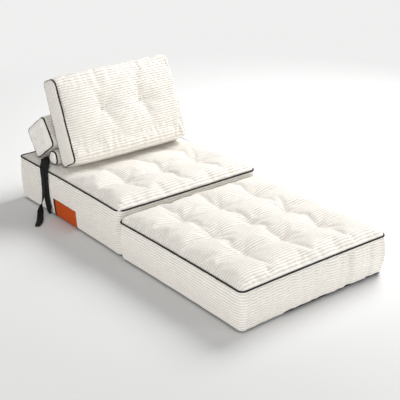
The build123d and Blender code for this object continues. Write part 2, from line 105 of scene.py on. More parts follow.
# Level below which the side is base cloth, on the foot's front right and elsewhere. The band is base cloth
# wrapped round the bottom edge; on the foot's front right it reaches higher as painted shade for the dark
# gap under that edge.
CLOTH_SHADE_EDGE_FRONT = 0.012
CLOTH_EDGE = 0.009
PIPING_RADIUS = 0.0043
PIPING_REACH = 0.0046
HINGE_REACH = PIPING_REACH - 0.0012
PIPING_OUT = 0.0026
PIPING_UP = 0.0020
# The seat's near left corner, where its piping goes into the gathers: place, reach and depth
DIP_PLACE = (-0.440, -0.020)
DIP_REACH = 0.022
DIP_DEPTH = 0.0085
RIGHT_DROP = 0.0040

# Loose cushions: half is half the length, corners are those of the section with a radius each, and
# tuck is how much further the right seam is drawn in.
PILLOW_HALF = 0.3725
PILLOW_TUFTS = (-0.125, 0.125)
PILLOW_TUFT_HEIGHT = 0.250
PILLOW_SPOKES = 6
PILLOW_PIT = 0.030
PILLOW_PULL = 0.95
BOLSTER_HALF = 0.388
ROLL_HALF = 0.383
CUSHIONS = {
    "pillow": {
        "half": PILLOW_HALF,
        "corners": ((0.0, 0.0, 0.024), (0.0, 0.458, 0.046), (0.128, 0.458, 0.030), (0.150, -0.020, 0.030)),
        "place": Matrix.Translation((0.012, 0.4945, 0.33146)) @ Matrix.Rotation(math.radians(-22), 4, "X"),
        "cells": 78, "half_count": 52, "tuck": 0.024, "dome_share": 1.0, "end_stripes": True, "fill": 0.8,
        "zip_slot": ((-0.260, 0.031, -0.050), (0.260, 0.044, -0.003)),
        "seed": 3.0, "piping_seeds": (1, 2),
    },
    "bolster": {
        "half": BOLSTER_HALF,
        "corners": ((-0.1125, -0.088, 0.026), (-0.1125, 0.088, 0.026), (0.1125, 0.088, 0.026),
                    (0.1125, -0.088, 0.026)),
        "place": Matrix.Translation((0.0, 0.806, 0.39056)) @ Matrix.Rotation(math.radians(-35), 4, "X"),
        "cells": 60, "half_count": 34, "tuck": 0.0, "dome_share": 1.0, "end_stripes": False, "fill": 0.9,
        "zip_slot": ((-0.260, 0.1045, -0.0065), (0.260, 0.135, 0.0065)),
        "seed": 7.0, "piping_seeds": (4, 5),
    },
    "roll": {
        "half": ROLL_HALF,
        "corners": ((-0.048, -0.042, 0.028), (-0.032, 0.042, 0.028), (0.022, 0.034, 0.028),
                    (0.060, -0.042, 0.028)),
        "place": Matrix.Translation((0.0, 0.6895, 0.30956)),
        "cells": 60, "half_count": 20, "tuck": 0.0, "dome_share": 0.8, "end_stripes": False, "fill": 0.9,
        "zip_slot": None, "seed": 9.0, "piping_seeds": (7, 8),
    },
}
# End panels: cells across, how far in from the seam they reach their height, and the depth of the
# waves along the seam
END_RUNGS = 12
END_RISE = 0.045
SEAM_WAVE = 0.0030

SWELL_STEPS = 20
SWELL_PRESSURE = 3.0

# Side patch: name, start and end along the side, wall, finish, slot and the solid that it stands for.
# MARGIN and TOP say how much of the cover around it is copied before it is cut to size.
PATCH_PIECES = (
    ("patch_cloth", 0.380, 0.588, 0.0012, "orange canvas", "patch", "seat_side_patch"),
    ("patch_edge", 0.5885, 0.6010, 0.0030, "black piping cloth", "piping", "seat_patch_binding"),
)
PATCH_LOW = 0.008
PATCH_HIGH = 0.112
PATCH_MARGIN = 0.05
PATCH_TOP = 0.16
PATCH_CLEARANCE = 0.0008

STRAP_LONG_ROUTE = (
    (-0.384, 0.790, 0.268), (-0.412, 0.743, 0.271), (-0.440, 0.703, 0.273), (-0.461, 0.684, 0.249),
    (-0.461, 0.681, 0.203), (-0.460, 0.681, 0.152), (-0.465, 0.680, 0.103), (-0.485, 0.676, 0.056),
    (-0.503, 0.660, 0.017), (-0.524, 0.626, 0.005), (-0.552, 0.585, 0.005), (-0.588, 0.551, 0.005),
)
STRAP_SHORT_ROUTE = (
    (-0.384, 0.772, 0.268), (-0.410, 0.725, 0.271), (-0.439, 0.682, 0.269), (-0.457, 0.661, 0.245),
    (-0.456, 0.657, 0.203), (-0.455, 0.656, 0.152), (-0.459, 0.653, 0.106), (-0.461, 0.641, 0.062),
    (-0.463, 0.622, 0.018),
)
# Share of the length, turn in degrees and share of the width
STRAP_LONG_TURNS = (
    (0.0, 0, 1.0), (0.30, 0, 1.0), (0.52, 8, 1.0), (0.62, 40, 0.95), (0.66, 80, 0.8), (0.72, 150, 1.0),
    (0.85, 175, 1.0), (0.95, 180, 0.95), (1.0, 180, 0.55),
)
STRAP_SHORT_TURNS = ((0.0, 0, 1.0), (0.5, 0, 1.0), (0.75, -18, 0.95), (0.92, -25, 0.8), (1.0, -30, 0.45))
# Section of the straps as shares of half their width and thickness, thicker at the woven edges
STRAP_PROFILE = (
    (-1.0, 0.0), (-0.96, 0.8), (-0.8, 1.0), (-0.3, 0.8), (0.3, 0.8), (0.8, 1.0), (0.96, 0.8),
    (1.0, 0.0), (0.96, -0.8), (0.8, -1.0), (0.3, -0.8), (-0.3, -0.8), (-0.8, -1.0), (-0.96, -0.8),
)

# Stage
CAMERA_PLACE = (-2.889, -3.726, 2.257)
CAMERA_TURN = (66.289, 0.0, -38.594)
LAMP_AIM = (0.0, -0.1, 0.15)
# Lamps: name, the setting of its power and the share of it, size, place and colour
LAMPS = (
    ("key", "key_power", 1.0, 3.0, (3.15, 0.3, 3.45), (1.0, 0.99, 0.98)),
    ("front fill", "fill_power", 0.56, 2.0, (1.1, -3.8, 0.6), (1.0, 1.0, 1.0)),
    ("left fill", "fill_power", 1.0, 2.6, (-4.3, -1.4, 0.7), (1.0, 0.99, 0.98)),
)
FLOOR_SIZE = 60.0
BACKGROUND_LEVEL = 0.868
# Distance from the middle over which the floor fades into the background
GLOW_START = 1.3
GLOW_END = 3.6

# Finishes of the kept solids, by the ending of their names
KEPT_FINISHES = {
    "_core": "seat foam", "_filling": "seat foam", "_tuft_ties": "waxed twine",
    "_base_cloth": "black base cloth", "_hinge_flap": "black base cloth",
    "_zip_tape": "cream zip tape", "_zip_slider": "satin zinc", "_anchor": "black webbing",
}


class SofaFabricSettings(PropertyGroup):
    """Colours of the cloths, and the corduroy's ribs"""
    rib_pitch: FloatProperty(
        name="Rib pitch", description="Distance from one corduroy rib to the next",
        default=0.0135, min=0.004, max=0.03, unit="LENGTH")
    rib_depth: FloatProperty(
        name="Rib depth", description="Depth of the grooves between the ribs",
        default=0.0022, min=0.0, max=0.006, unit="LENGTH")
    rib_colour: FloatVectorProperty(
        name="Rib colour", description="Colour of the corduroy on top of its ribs",
        subtype="COLOR", default=(0.905, 0.882, 0.835), min=0, max=1)
    # Darker than the ribs: partly the cloth's own colour, partly painted shade in the grooves between the
    # ribs.
    groove_shade_colour: FloatVectorProperty(
        name="Groove colour", description="Colour of the corduroy between its ribs",
        subtype="COLOR", default=(0.700, 0.650, 0.580), min=0, max=1)
    piping_colour: FloatVectorProperty(
        name="Piping colour", description="Colour of the piping, straps and base cloth",
        subtype="COLOR", default=(0.009, 0.008, 0.008), min=0, max=1)
    patch_colour: FloatVectorProperty(
        name="Patch colour", description="Colour of the plain patch on the side",
        subtype="COLOR", default=(0.560, 0.075, 0.004), min=0, max=1)


class SofaBlockSettings(PropertyGroup):
    """Shapes of the seat's and the foot's covers"""
    cells_across: IntProperty(
        name="Cells across", description="Faces of the top from its left to its right side",
        default=88, min=40, max=140)
    hill_share: FloatProperty(
        name="Hill share", description="Height of the puffs before they swell, as a share of the crown",
        default=0.86, min=0.3, max=1.0, subtype="FACTOR")
    furrow_depth: FloatProperty(
        name="Furrow depth", description="Depth of the furrows between the tufts, as a share of the puffs",
        default=0.24, min=0.0, max=0.6, subtype="FACTOR")
    tuft_share: FloatProperty(
        name="Tuft share", description="Height of the tufts over the seam, as a share of the crown",
        default=0.30, min=0.1, max=0.6, subtype="FACTOR")
    swell_cap: FloatProperty(
        name="Swell cap", description="Most that a point of the top moves as it swells",
        default=0.022, min=0.0, max=0.04, unit="LENGTH")
    gather_depth: FloatProperty(
        name="Gather depth", description="Depth of the gathers below the piping",
        default=0.0100, min=0.0, max=0.015, unit="LENGTH")


class SofaCushionSettings(PropertyGroup):
    """Shapes of the loose cushions"""
    pillow_crown: FloatProperty(
        name="Pillow crown", description="How far the pillow's front stands out before it swells",
        default=0.046, min=0.0, max=0.06, unit="LENGTH")
    bolster_bulge: FloatProperty(
        name="Bolster bulge", description="How far the bolster's sides swell between its ends",
        default=0.007, min=0.0, max=0.02, unit="LENGTH")
    end_dome: FloatProperty(
        name="End dome", description="How far the end panels stand out past their piping",
        default=0.014, min=0.0, max=0.03, unit="LENGTH")
    swell_cap: FloatProperty(
        name="Swell cap", description="Most that a point of the pillow moves as it swells",
        default=0.012, min=0.0, max=0.03, unit="LENGTH")


class SofaStrapSettings(PropertyGroup):
    """Sizes of the tie straps"""
    width: FloatProperty(
        name="Width", description="Width of each strap", default=0.036, min=0.01, max=0.06, unit="LENGTH")
    thickness: FloatProperty(
        name="Thickness", description="Thickness of each strap",
        default=0.0034, min=0.001, max=0.008, unit="LENGTH")


class SofaStageSettings(PropertyGroup):
    """Camera and light"""
    key_power: FloatProperty(
        name="Key power", description="Power of the large soft lamp at the rear right",
        default=228.0, min=0.0, max=2000.0, unit="POWER")
    fill_power: FloatProperty(
        name="Fill power",
        description="Power of the wide low lamp at the left; the one at the front is weaker",
        default=94.0, min=0.0, max=2000.0, unit="POWER")
    world_level: FloatProperty(
        name="World level", description="Strength of the even light from all round",
        default=0.44, min=0.0, max=2.0)
    lens: FloatProperty(
        name="Lens", description="Focal length of the camera in millimetres",
        default=89.1, min=20.0, max=300.0)


class SofaBedSettings(PropertyGroup):
    """All settings of the sofa bed"""
    fabric: PointerProperty(type=SofaFabricSettings, name="Fabric", description="Cloths")
    block: PointerProperty(type=SofaBlockSettings, name="Blocks", description="Seat and foot covers")
    cushion: PointerProperty(type=SofaCushionSettings, name="Cushions", description="Loose cushions")
    strap: PointerProperty(type=SofaStrapSettings, name="Straps", description="Tie straps")
    stage: PointerProperty(type=SofaStageSettings, name="Stage", description="Camera and light")


def settings():
    return bpy.context.scene.sofa_bed


def deselect():
    """Leaves nothing selected, so that the next operator acts on its own piece alone."""
    for obj in bpy.context.view_layer.objects:
        obj.select_set(False)


def activate(obj):
    deselect()
    obj.select_set(True)
    bpy.context.view_layer.objects.active = obj


# Materials

def new_material(name, roughness, sheen=0.0, metallic=0.0, specular=0.5):
    """A new material and its node tree, with the values that are the same all over it."""
    material = bpy.data.materials.new(name)
    material.use_nodes = True
    shader = material.node_tree.nodes["Principled BSDF"]
    shader.inputs["Roughness"].default_value = roughness
    shader.inputs["Metallic"].default_value = metallic
    shader.inputs["Specular IOR Level"].default_value = specular
    shader.inputs["Sheen Weight"].default_value = sheen
    shader.inputs["Sheen Roughness"].default_value = 0.5
    return material, material.node_tree, shader


def put(tree, socket, value):
    """Links a socket to another, or sets its value."""
    if isinstance(value, bpy.types.NodeSocket):
        tree.links.new(value, socket)
    elif isinstance(value, (tuple, list)) and len(value) == 3 and socket.type == "RGBA":
        socket.default_value = (*value, 1.0)
    else:
        socket.default_value = value


def maths(tree, operation, first, second=0.0, third=0.0):
    node = tree.nodes.new("ShaderNodeMath")
    node.operation = operation
    for socket, value in zip(node.inputs, (first, second, third)):
        put(tree, socket, value)
    return node.outputs[0]


def place_of(tree, scale=(1, 1, 1), turn=(0, 0, 0)):
    """Object coordinates, stretched and turned."""
    source = tree.nodes.new("ShaderNodeTexCoord")
    mapping = tree.nodes.new("ShaderNodeMapping")
    mapping.inputs["Scale"].default_value = scale
    mapping.inputs["Rotation"].default_value = turn
    tree.links.new(source.outputs["Object"], mapping.inputs["Vector"])
    return mapping.outputs[0]


def grain(tree, scale, detail=3.0, roughness=0.5, vector=None):
    node = tree.nodes.new("ShaderNodeTexNoise")
    put(tree, node.inputs["Scale"], scale)
    put(tree, node.inputs["Detail"], detail)
    put(tree, node.inputs["Roughness"], roughness)
    put(tree, node.inputs["Vector"], vector if vector else place_of(tree))
    return node.outputs["Fac"]


def spread(tree, value, low, high, new_low=0.0, new_high=1.0):
    node = tree.nodes.new("ShaderNodeMapRange")
    for name, number in (("Value", value), ("From Min", low), ("From Max", high),
                         ("To Min", new_low), ("To Max", new_high)):
        put(tree, node.inputs[name], number)
    return node.outputs[0]


def blend_colours(tree, share, first, second, kind="MIX"):
    node = tree.nodes.new("ShaderNodeMix")
    node.data_type = "RGBA"
    node.blend_type = kind
    put(tree, node.inputs[0], share)
    put(tree, node.inputs[6], first)
    put(tree, node.inputs[7], second)
    return node.outputs[2]


def relief(tree, height, distance, below=None, strength=1.0):
    node = tree.nodes.new("ShaderNodeBump")
    node.inputs["Strength"].default_value = strength
    node.inputs["Distance"].default_value = distance
    put(tree, node.inputs["Height"], height)
    if below:
        tree.links.new(below, node.inputs["Normal"])
    return node.outputs[0]


def corduroy(name, ribs=1.0):
    """Wide-wale corduroy whose ribs cross the piece's V coordinate, with short pile in clumps.
    With few ribs it is the brushed, mottled look of the cloth seen along its pile."""
    fabric = settings().fabric
    material, tree, shader = new_material(name, 0.92, sheen=0.25, specular=0.2)
    uv = tree.nodes.new("ShaderNodeUVMap")
    split = tree.nodes.new("ShaderNodeSeparateXYZ")
    tree.links.new(uv.outputs[0], split.inputs[0])
    wander = maths(tree, "MULTIPLY_ADD", grain(tree, 14.0, 2.0), fabric.rib_pitch * 0.5, 0.0)
    turns = maths(tree, "MULTIPLY", maths(tree, "ADD", split.outputs[1], wander),
                  2 * math.pi / fabric.rib_pitch)
    wave = maths(tree, "MULTIPLY_ADD", maths(tree, "SINE", turns), 0.5, 0.5)
    rib = maths(tree, "POWER", wave, 0.55)
    rib_seen = maths(tree, "MULTIPLY_ADD", rib, ribs, 1.0 - ribs)
    clumps = grain(tree, 130.0, 4.0, 0.6, place_of(tree, (0.35, 1.0, 1.0)))
    pile = grain(tree, 900.0, 2.0, 0.6)
    mottle = grain(tree, 26.0, 4.0, 0.6)
    # Between the ribs the colour darkens: partly the cloth's own colour, partly painted shade in the
    # grooves.
    cloth = blend_colours(tree, rib_seen, tuple(fabric.groove_shade_colour), tuple(fabric.rib_colour))
    tone = spread(tree, clumps, 0.3, 0.7, 0.93, 1.04)
    if ribs < 0.5:
        tone = maths(tree, "MULTIPLY", tone, spread(tree, mottle, 0.35, 0.65, 0.88, 1.03))
    else:
        tone = maths(tree, "MULTIPLY", tone, spread(tree, mottle, 0.3, 0.7, 0.965, 1.02))
    tint = tree.nodes.new("ShaderNodeCombineColor")
    for socket in tint.inputs:
        put(tree, socket, tone)
    colour = blend_colours(tree, 1.0, cloth, tint.outputs[0], "MULTIPLY")
    put(tree, shader.inputs["Base Color"], colour)
    first = relief(tree, rib_seen, fabric.rib_depth)
    second = relief(tree, clumps, 0.0006 if ribs > 0.5 else 0.0030, first)
    third = relief(tree, pile, 0.0004, second)
    put(tree, shader.inputs["Normal"], third)
    return material


def woven(name, colour, pitch, roughness=0.85, sheen=0.1, contrast=0.35, depth=0.0006):
    """Plain weave: two sets of threads that cross, with slubs and a little wear."""
    material, tree, shader = new_material(name, roughness, sheen=sheen, specular=0.25)
    place = place_of(tree)
    split = tree.nodes.new("ShaderNodeSeparateXYZ")
    tree.links.new(place, split.inputs[0])
    along = maths(tree, "ADD", split.outputs[0], split.outputs[1])
    turns = 2 * math.pi / pitch
    warp = maths(tree, "SINE", maths(tree, "MULTIPLY", along, turns))
    weft = maths(tree, "SINE", maths(tree, "MULTIPLY", split.outputs[2], turns))
    threads = maths(tree, "MULTIPLY_ADD", maths(tree, "MULTIPLY", warp, weft), 0.5, 0.5)
    slubs = grain(tree, 120.0, 3.0)
    height = maths(tree, "MULTIPLY_ADD", slubs, 0.5, threads)
    dark = tuple(channel * (1 - contrast) for channel in colour)
    mixed = blend_colours(tree, threads, dark, tuple(colour))
    worn = blend_colours(tree, spread(tree, grain(tree, 18.0, 4.0), 0.35, 0.75, 0.0, 0.35), mixed,
                         tuple(min(1.0, channel * 1.35 + 0.004) for channel in colour))
    put(tree, shader.inputs["Base Color"], worn)
    put(tree, shader.inputs["Normal"], relief(tree, height, depth))
    return material


def foam(name):
    """Open-cell foam: fine pores and a slow change of tone."""
    material, tree, shader = new_material(name, 0.95, specular=0.15)
    pores = tree.nodes.new("ShaderNodeTexVoronoi")
    pores.inputs["Scale"].default_value = 420.0
    put(tree, pores.inputs["Vector"], place_of(tree))
    cells = spread(tree, pores.outputs["Distance"], 0.1, 0.7)
    base = blend_colours(tree, cells, (0.52, 0.45, 0.30), (0.80, 0.72, 0.52))
    age = spread(tree, grain(tree, 6.0), 0.4, 0.7, 0.0, 0.25)
    aged = blend_colours(tree, age, base, (0.74, 0.62, 0.36))
    put(tree, shader.inputs["Base Color"], aged)
    put(tree, shader.inputs["Normal"], relief(tree, cells, 0.0008))
    return material


def twine(name):
    """Waxed twine: slanting strands."""
    material, tree, shader = new_material(name, 0.6, sheen=0.1)
    strands = tree.nodes.new("ShaderNodeTexWave")
    strands.inputs["Scale"].default_value = 260.0
    strands.inputs["Distortion"].default_value = 1.5
    put(tree, strands.inputs["Vector"], place_of(tree, turn=(0.0, 0.7, 0.5)))
    base = blend_colours(tree, strands.outputs["Fac"], (0.50, 0.45, 0.36), (0.80, 0.75, 0.65))
    put(tree, shader.inputs["Base Color"], base)
    put(tree, shader.inputs["Normal"], relief(tree, strands.outputs["Fac"], 0.0004))
    return material


def metal(name):
    """Satin zinc with fine scratches and duller spots."""
    material, tree, shader = new_material(name, 0.35, metallic=0.9)
    scratches = grain(tree, 60.0, 3.0, 0.6, place_of(tree, (1.0, 14.0, 14.0)))
    put(tree, shader.inputs["Base Color"],
        blend_colours(tree, scratches, (0.40, 0.39, 0.37), (0.66, 0.65, 0.62)))
    put(tree, shader.inputs["Roughness"], spread(tree, grain(tree, 90.0), 0.3, 0.7, 0.28, 0.5))
    put(tree, shader.inputs["Normal"], relief(tree, scratches, 0.0001))
    return material


def seen_directly(tree):
    """1 for what the camera sees, also in a reflection or through glass, and 0 for light."""
    seen = tree.nodes.new("ShaderNodeLightPath")
    mirrored = maths(tree, "MAXIMUM", seen.outputs["Is Glossy Ray"], seen.outputs["Is Transmission Ray"])
    return maths(tree, "MAXIMUM", seen.outputs["Is Camera Ray"], mirrored)


def floor_finish(name):
    """Pale floor, a little greyer towards the front and left: painted shade for the light falling off
    there.
    """
    material, tree, shader = new_material(name, 0.8, specular=0.1)
    split = tree.nodes.new("ShaderNodeSeparateXYZ")
    tree.links.new(place_of(tree), split.inputs[0])
    away = maths(tree, "ADD", maths(tree, "MULTIPLY", split.outputs[0], 0.45),
                 maths(tree, "MULTIPLY", split.outputs[1], 0.75))
    share = spread(tree, away, -1.6, 0.9)
    # Painted shade: the floor's colour greys towards the front and left to stand in for the light falling
    # off there.
    tone = blend_colours(tree, share, (0.66, 0.665, 0.665), (0.85, 0.855, 0.86))
    speck = blend_colours(tree, spread(tree, grain(tree, 40.0, 3.0), 0.3, 0.7, 0.0, 0.02), tone,
                          (0.5, 0.5, 0.5))
    put(tree, shader.inputs["Base Color"], speck)
    reach = tree.nodes.new("ShaderNodeVectorMath")
    reach.operation = "LENGTH"
    put(tree, reach.inputs[0], place_of(tree))
    far = spread(tree, reach.outputs["Value"], GLOW_START, GLOW_END)
    glow = tree.nodes.new("ShaderNodeEmission")
    glow.inputs["Color"].default_value = (BACKGROUND_LEVEL, BACKGROUND_LEVEL, 0.864, 1.0)
    joined = tree.nodes.new("ShaderNodeMixShader")
    tree.links.new(maths(tree, "MULTIPLY", far, seen_directly(tree)), joined.inputs[0])
    tree.links.new(shader.outputs[0], joined.inputs[1])
    tree.links.new(glow.outputs[0], joined.inputs[2])
    tree.links.new(joined.outputs[0], tree.nodes["Material Output"].inputs["Surface"])
    return material


def finish_of(name):
    """A material by its name, made the first time that it is asked for."""
    found = bpy.data.materials.get(name)
    if found:
        return found
    fabric = settings().fabric
    dark = tuple(fabric.piping_colour)
    makers = {
        "ribbed corduroy": lambda: corduroy(name),
        "brushed corduroy": lambda: corduroy(name, 0.12),
        "black piping cloth": lambda: woven(name, dark, 0.0016),
        "black base cloth": lambda: woven(name, dark, 0.0012),
        "black webbing": lambda: woven(name, tuple(0.55 * part for part in dark), 0.0026, sheen=0.02,
                                       contrast=0.5, depth=0.0012),
        "orange canvas": lambda: woven(name, tuple(fabric.patch_colour), 0.0014, sheen=0.0, contrast=0.22),
        "cream zip tape": lambda: woven(name, (0.70, 0.65, 0.56), 0.0015, contrast=0.25),
        "seat foam": lambda: foam(name),
        "waxed twine": lambda: twine(name),
        "satin zinc": lambda: metal(name),
        "pale floor": lambda: floor_finish(name),
    }
    return makers[name]()


# Shapes shared by the pieces

def eased_places(cells, edge_share=0.35):
    """Places from -1 to 1, closer together near both ends."""
    t = np.linspace(-1.0, 1.0, cells + 1)
    return t * (1 - edge_share) + edge_share * np.sin(np.pi * t / 2)


def smooth(values, low, high):
    """Soft step from 0 at low to 1 at high."""
    share = np.clip((np.asarray(values, float) - low) / (high - low), 0, 1)
    return share * share * (3 - 2 * share)


def wander(values, seed, scale):
    """Smooth noise along a line, from about -1 to 1."""
    return np.array([noise.noise(Vector((value * scale, seed * 7.31, seed * 1.7))) for value in values])


def wander_over(points, seed, scale):
    """Smooth noise in space, from about -1 to 1."""
    shift = Vector((seed * 3.7, seed * 5.1, 0))
    return np.array([noise.noise(Vector(point) * scale + shift) for point in points])


def mesh_piece(name, points, faces, uvs, materials, face_materials=None):
    """Object at the origin from points, faces and a UV for each corner of each face."""
    mesh = bpy.data.meshes.new(name)
    mesh.from_pydata([tuple(point) for point in points], [], faces)
    layer = mesh.uv_layers.new(name="cloth")
    flat = [value for face_uvs in uvs for uv in face_uvs for value in uv]
    layer.data.foreach_set("uv", flat)
    for material in materials:
        mesh.materials.append(finish_of(material))
    if face_materials is not None:
        mesh.polygons.foreach_set("material_index", face_materials)
    mesh.update()
    obj = bpy.data.objects.new(name, mesh)
    bpy.context.collection.objects.link(obj)
    work = bmesh.new()
    work.from_mesh(mesh)
    bmesh.ops.recalc_face_normals(work, faces=work.faces)
    work.to_mesh(mesh)
    work.free()
    mesh.polygons.foreach_set("use_smooth", [True] * len(mesh.polygons))
    return obj


def strip(lower, upper):
    """Faces between two closed rows of points, given by their numbers."""
    size = len(lower)
    return [(int(lower[k]), int(lower[(k + 1) % size]), int(upper[(k + 1) % size]), int(upper[k]))
            for k in range(size)]


def strip_uvs(places, first, second):
    """UVs of a strip: places along it, and a value for each of its two rows."""
    return [((a, first), (b, first), (b, second), (a, second)) for a, b in zip(places, places[1:])]


def swell(name, points, faces, pinned, pressure, slack):
    """Cloth blown up softly from inside for a few frames: the new place of each point."""
    mesh = bpy.data.meshes.new(name)
    mesh.from_pydata([tuple(point) for point in points], [], faces)
    obj = bpy.data.objects.new(name, mesh)
    bpy.context.collection.objects.link(obj)
    group = obj.vertex_groups.new(name="held")
    for index, weight in enumerate(pinned):
        if weight > 0.01:
            group.add([index], float(weight), "REPLACE")
    modifier = obj.modifiers.new("swell", "CLOTH")
    cloth = modifier.settings
    cloth.quality = 6
    cloth.mass = 0.3
    cloth.tension_stiffness = cloth.compression_stiffness = 12.0
    cloth.shear_stiffness = 6.0
    cloth.bending_stiffness = 1.2
    cloth.air_damping = 3.0
    cloth.use_pressure = True
    cloth.uniform_pressure_force = pressure
    cloth.vertex_group_mass = "held"
    cloth.pin_stiffness = 1.0
    cloth.shrink_min = -slack
    cloth.effector_weights.gravity = 0.0
    modifier.collision_settings.use_collision = False
    modifier.point_cache.frame_start = 1
    modifier.point_cache.frame_end = SWELL_STEPS
    scene = bpy.context.scene
    for step in range(1, SWELL_STEPS + 1):
        scene.frame_set(step)
    activate(obj)
    bpy.ops.object.modifier_apply(modifier="swell")
    result = np.array([vertex.co for vertex in obj.data.vertices])
    scene.frame_set(1)
    bpy.data.objects.remove(obj)
    bpy.data.meshes.remove(mesh)
    return result


def capped(before, after, cap):
    """The moved points, none of them further from where it was than the cap."""
    move = after - before
    length = np.linalg.norm(move, axis=1)
    share = np.minimum(1.0, cap / np.maximum(length, 1e-9))
    return before + move * share[:, None]


def refine(obj, levels=1):
    """Subdivision applied to the mesh."""
    modifier = obj.modifiers.new("finer", "SUBSURF")
    modifier.levels = modifier.render_levels = levels
    modifier.uv_smooth = "PRESERVE_BOUNDARIES"
    activate(obj)
    bpy.ops.object.modifier_apply(modifier=modifier.name)


def close_underside(obj):
    """One flat face over the open underside."""
    work = bmesh.new()
    work.from_mesh(obj.data)
    rim = [edge for edge in work.edges if edge.is_boundary]
    for face in bmesh.ops.holes_fill(work, edges=rim, sides=0)["faces"]:
        face.material_index = 1
    bmesh.ops.recalc_face_normals(work, faces=work.faces)
    work.to_mesh(obj.data)
    work.free()


def cut_slot(obj, low, high, place=None):
    """Slot for the zip, cut by a box with those corners, which place moves first."""
    deselect()
    middle = [(a + b) / 2 for a, b in zip(low, high)]
    bpy.ops.mesh.primitive_cube_add(size=1.0, location=middle)
    box = bpy.context.active_object
    box.scale = [b - a for a, b in zip(low, high)]
    bpy.ops.object.transform_apply(location=True, rotation=True, scale=True)
    if place is not None:
        box.data.transform(place)
    box.data.materials.append(obj.data.materials[0])
    modifier = obj.modifiers.new("slot", "BOOLEAN")
    modifier.object = box
    modifier.operation = "DIFFERENCE"
    modifier.solver = "EXACT"
    activate(obj)
    bpy.ops.object.modifier_apply(modifier=modifier.name)
    bpy.data.objects.remove(box)
    for face in obj.data.polygons:
        face.use_smooth = True
    activate(obj)
    bpy.ops.object.shade_smooth_by_angle(angle=math.radians(50))


def piping_round(name, points, seed):
    """Closed piping through the points: a circle shaped in edit mode, made round and a mesh."""
    deselect()
    bpy.ops.mesh.primitive_circle_add(vertices=len(points), radius=1.0)
    obj = bpy.context.active_object
    obj.name = obj.data.name = name
    bpy.ops.object.mode_set(mode="EDIT")
    ring = bmesh.from_edit_mesh(obj.data)
    ring.verts.ensure_lookup_table()
    for vertex, point in zip(ring.verts, points):
        vertex.co = point
    bmesh.update_edit_mesh(obj.data)
    bpy.ops.object.mode_set(mode="OBJECT")
    bpy.ops.object.convert(target="CURVE")
    curve = bpy.context.active_object.data
    curve.bevel_depth = PIPING_RADIUS
    curve.bevel_resolution = 2
    bpy.ops.object.convert(target="MESH")
    obj = bpy.context.active_object
    obj.name = obj.data.name = name
    bpy.ops.object.transform_apply(location=True, rotation=True, scale=True)
    obj.data.polygons.foreach_set("use_smooth", [True] * len(obj.data.polygons))
    obj.data.materials.clear()
    obj.data.materials.append(finish_of("black piping cloth"))
    for vertex in obj.data.vertices:
        shift = noise.noise(vertex.co * 24.0 + Vector((seed, 0, 0)))
        vertex.co.z += 0.0009 * shift
    return obj


def join_pieces(pieces, name):
    deselect()
    for piece in pieces:
        piece.select_set(True)
    bpy.context.view_layer.objects.active = pieces[0]
    bpy.ops.object.join()
    pieces[0].name = pieces[0].data.name = name
    return pieces[0]


def declare(obj, body, slot_name, *nodes):
    """Attaches a piece to its body and hides the solids that it stands for. The finish argument, slot_name,
    is not used.
    """
    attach(obj, body)
    if nodes:
        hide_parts(*nodes)
    return obj


# Block covers

def direction_of(block):
    """1 for a block that goes back from the hinge, and -1 for one that goes forward."""
    return 1.0 if block["far"] > block["near"] else -1.0


def span_of(block):
    """Length of a block with its cloth."""
    return abs(block["far"] - block["near"])


def tuft_rows(block):
    """Places of a block's three rows of tufts."""
    return [HINGE_Y + direction_of(block) * (HALF_GAP + block["length"] * step / 4) for step in (1, 2, 3)]


def top_grid(name):
    """Places of the top's grid, before it rises, each with its distance to the seam."""
    block = BLOCKS[name]
    direction, length = direction_of(block), span_of(block)
    across = settings().block.cells_across
    along = int(round(across * length / (2 * block["half"])))
    half_x = block["half"] - PIPING_REACH
    half_y = (length - 2 * PIPING_REACH) / 2
    middle = (block["near"] + block["far"]) / 2
    x, y = np.meshgrid(eased_places(across) * half_x, eased_places(along) * half_y, indexing="ij")
    radius = CORNER_RADIUS - PIPING_REACH
    s = (np.abs(x) - (half_x - radius)) / radius
    t = (np.abs(y) - (half_y - radius)) / radius
    corner = (s > 0) & (t > 0)
    rounded_s = np.where(corner, s * np.sqrt(np.maximum(0, 1 - t * t / 2)), s)
    rounded_t = np.where(corner, t * np.sqrt(np.maximum(0, 1 - s * s / 2)), t)
    x = np.where(corner, np.sign(x) * (half_x - radius + rounded_s * radius), x)
    y = np.where(corner, np.sign(y) * (half_y - radius + rounded_t * radius), y)
    q = np.maximum(rounded_s, 0), np.maximum(rounded_t, 0)
    out = np.sqrt(q[0] ** 2 + q[1] ** 2)
    inside = np.where((rounded_s > 0) & (rounded_t > 0), out, np.maximum(rounded_s, rounded_t))
    depth = radius * (1 - inside)
    outward = direction * y / half_y
    x = x * (1 - DRAW_IN * (1 - (y / half_y) ** 2) / half_x)
    y = y - direction * DRAW_IN * (1 - (x / half_x) ** 2) * smooth(outward, 0.0, 1.0)
    return x, y + middle, np.maximum(depth, 0)


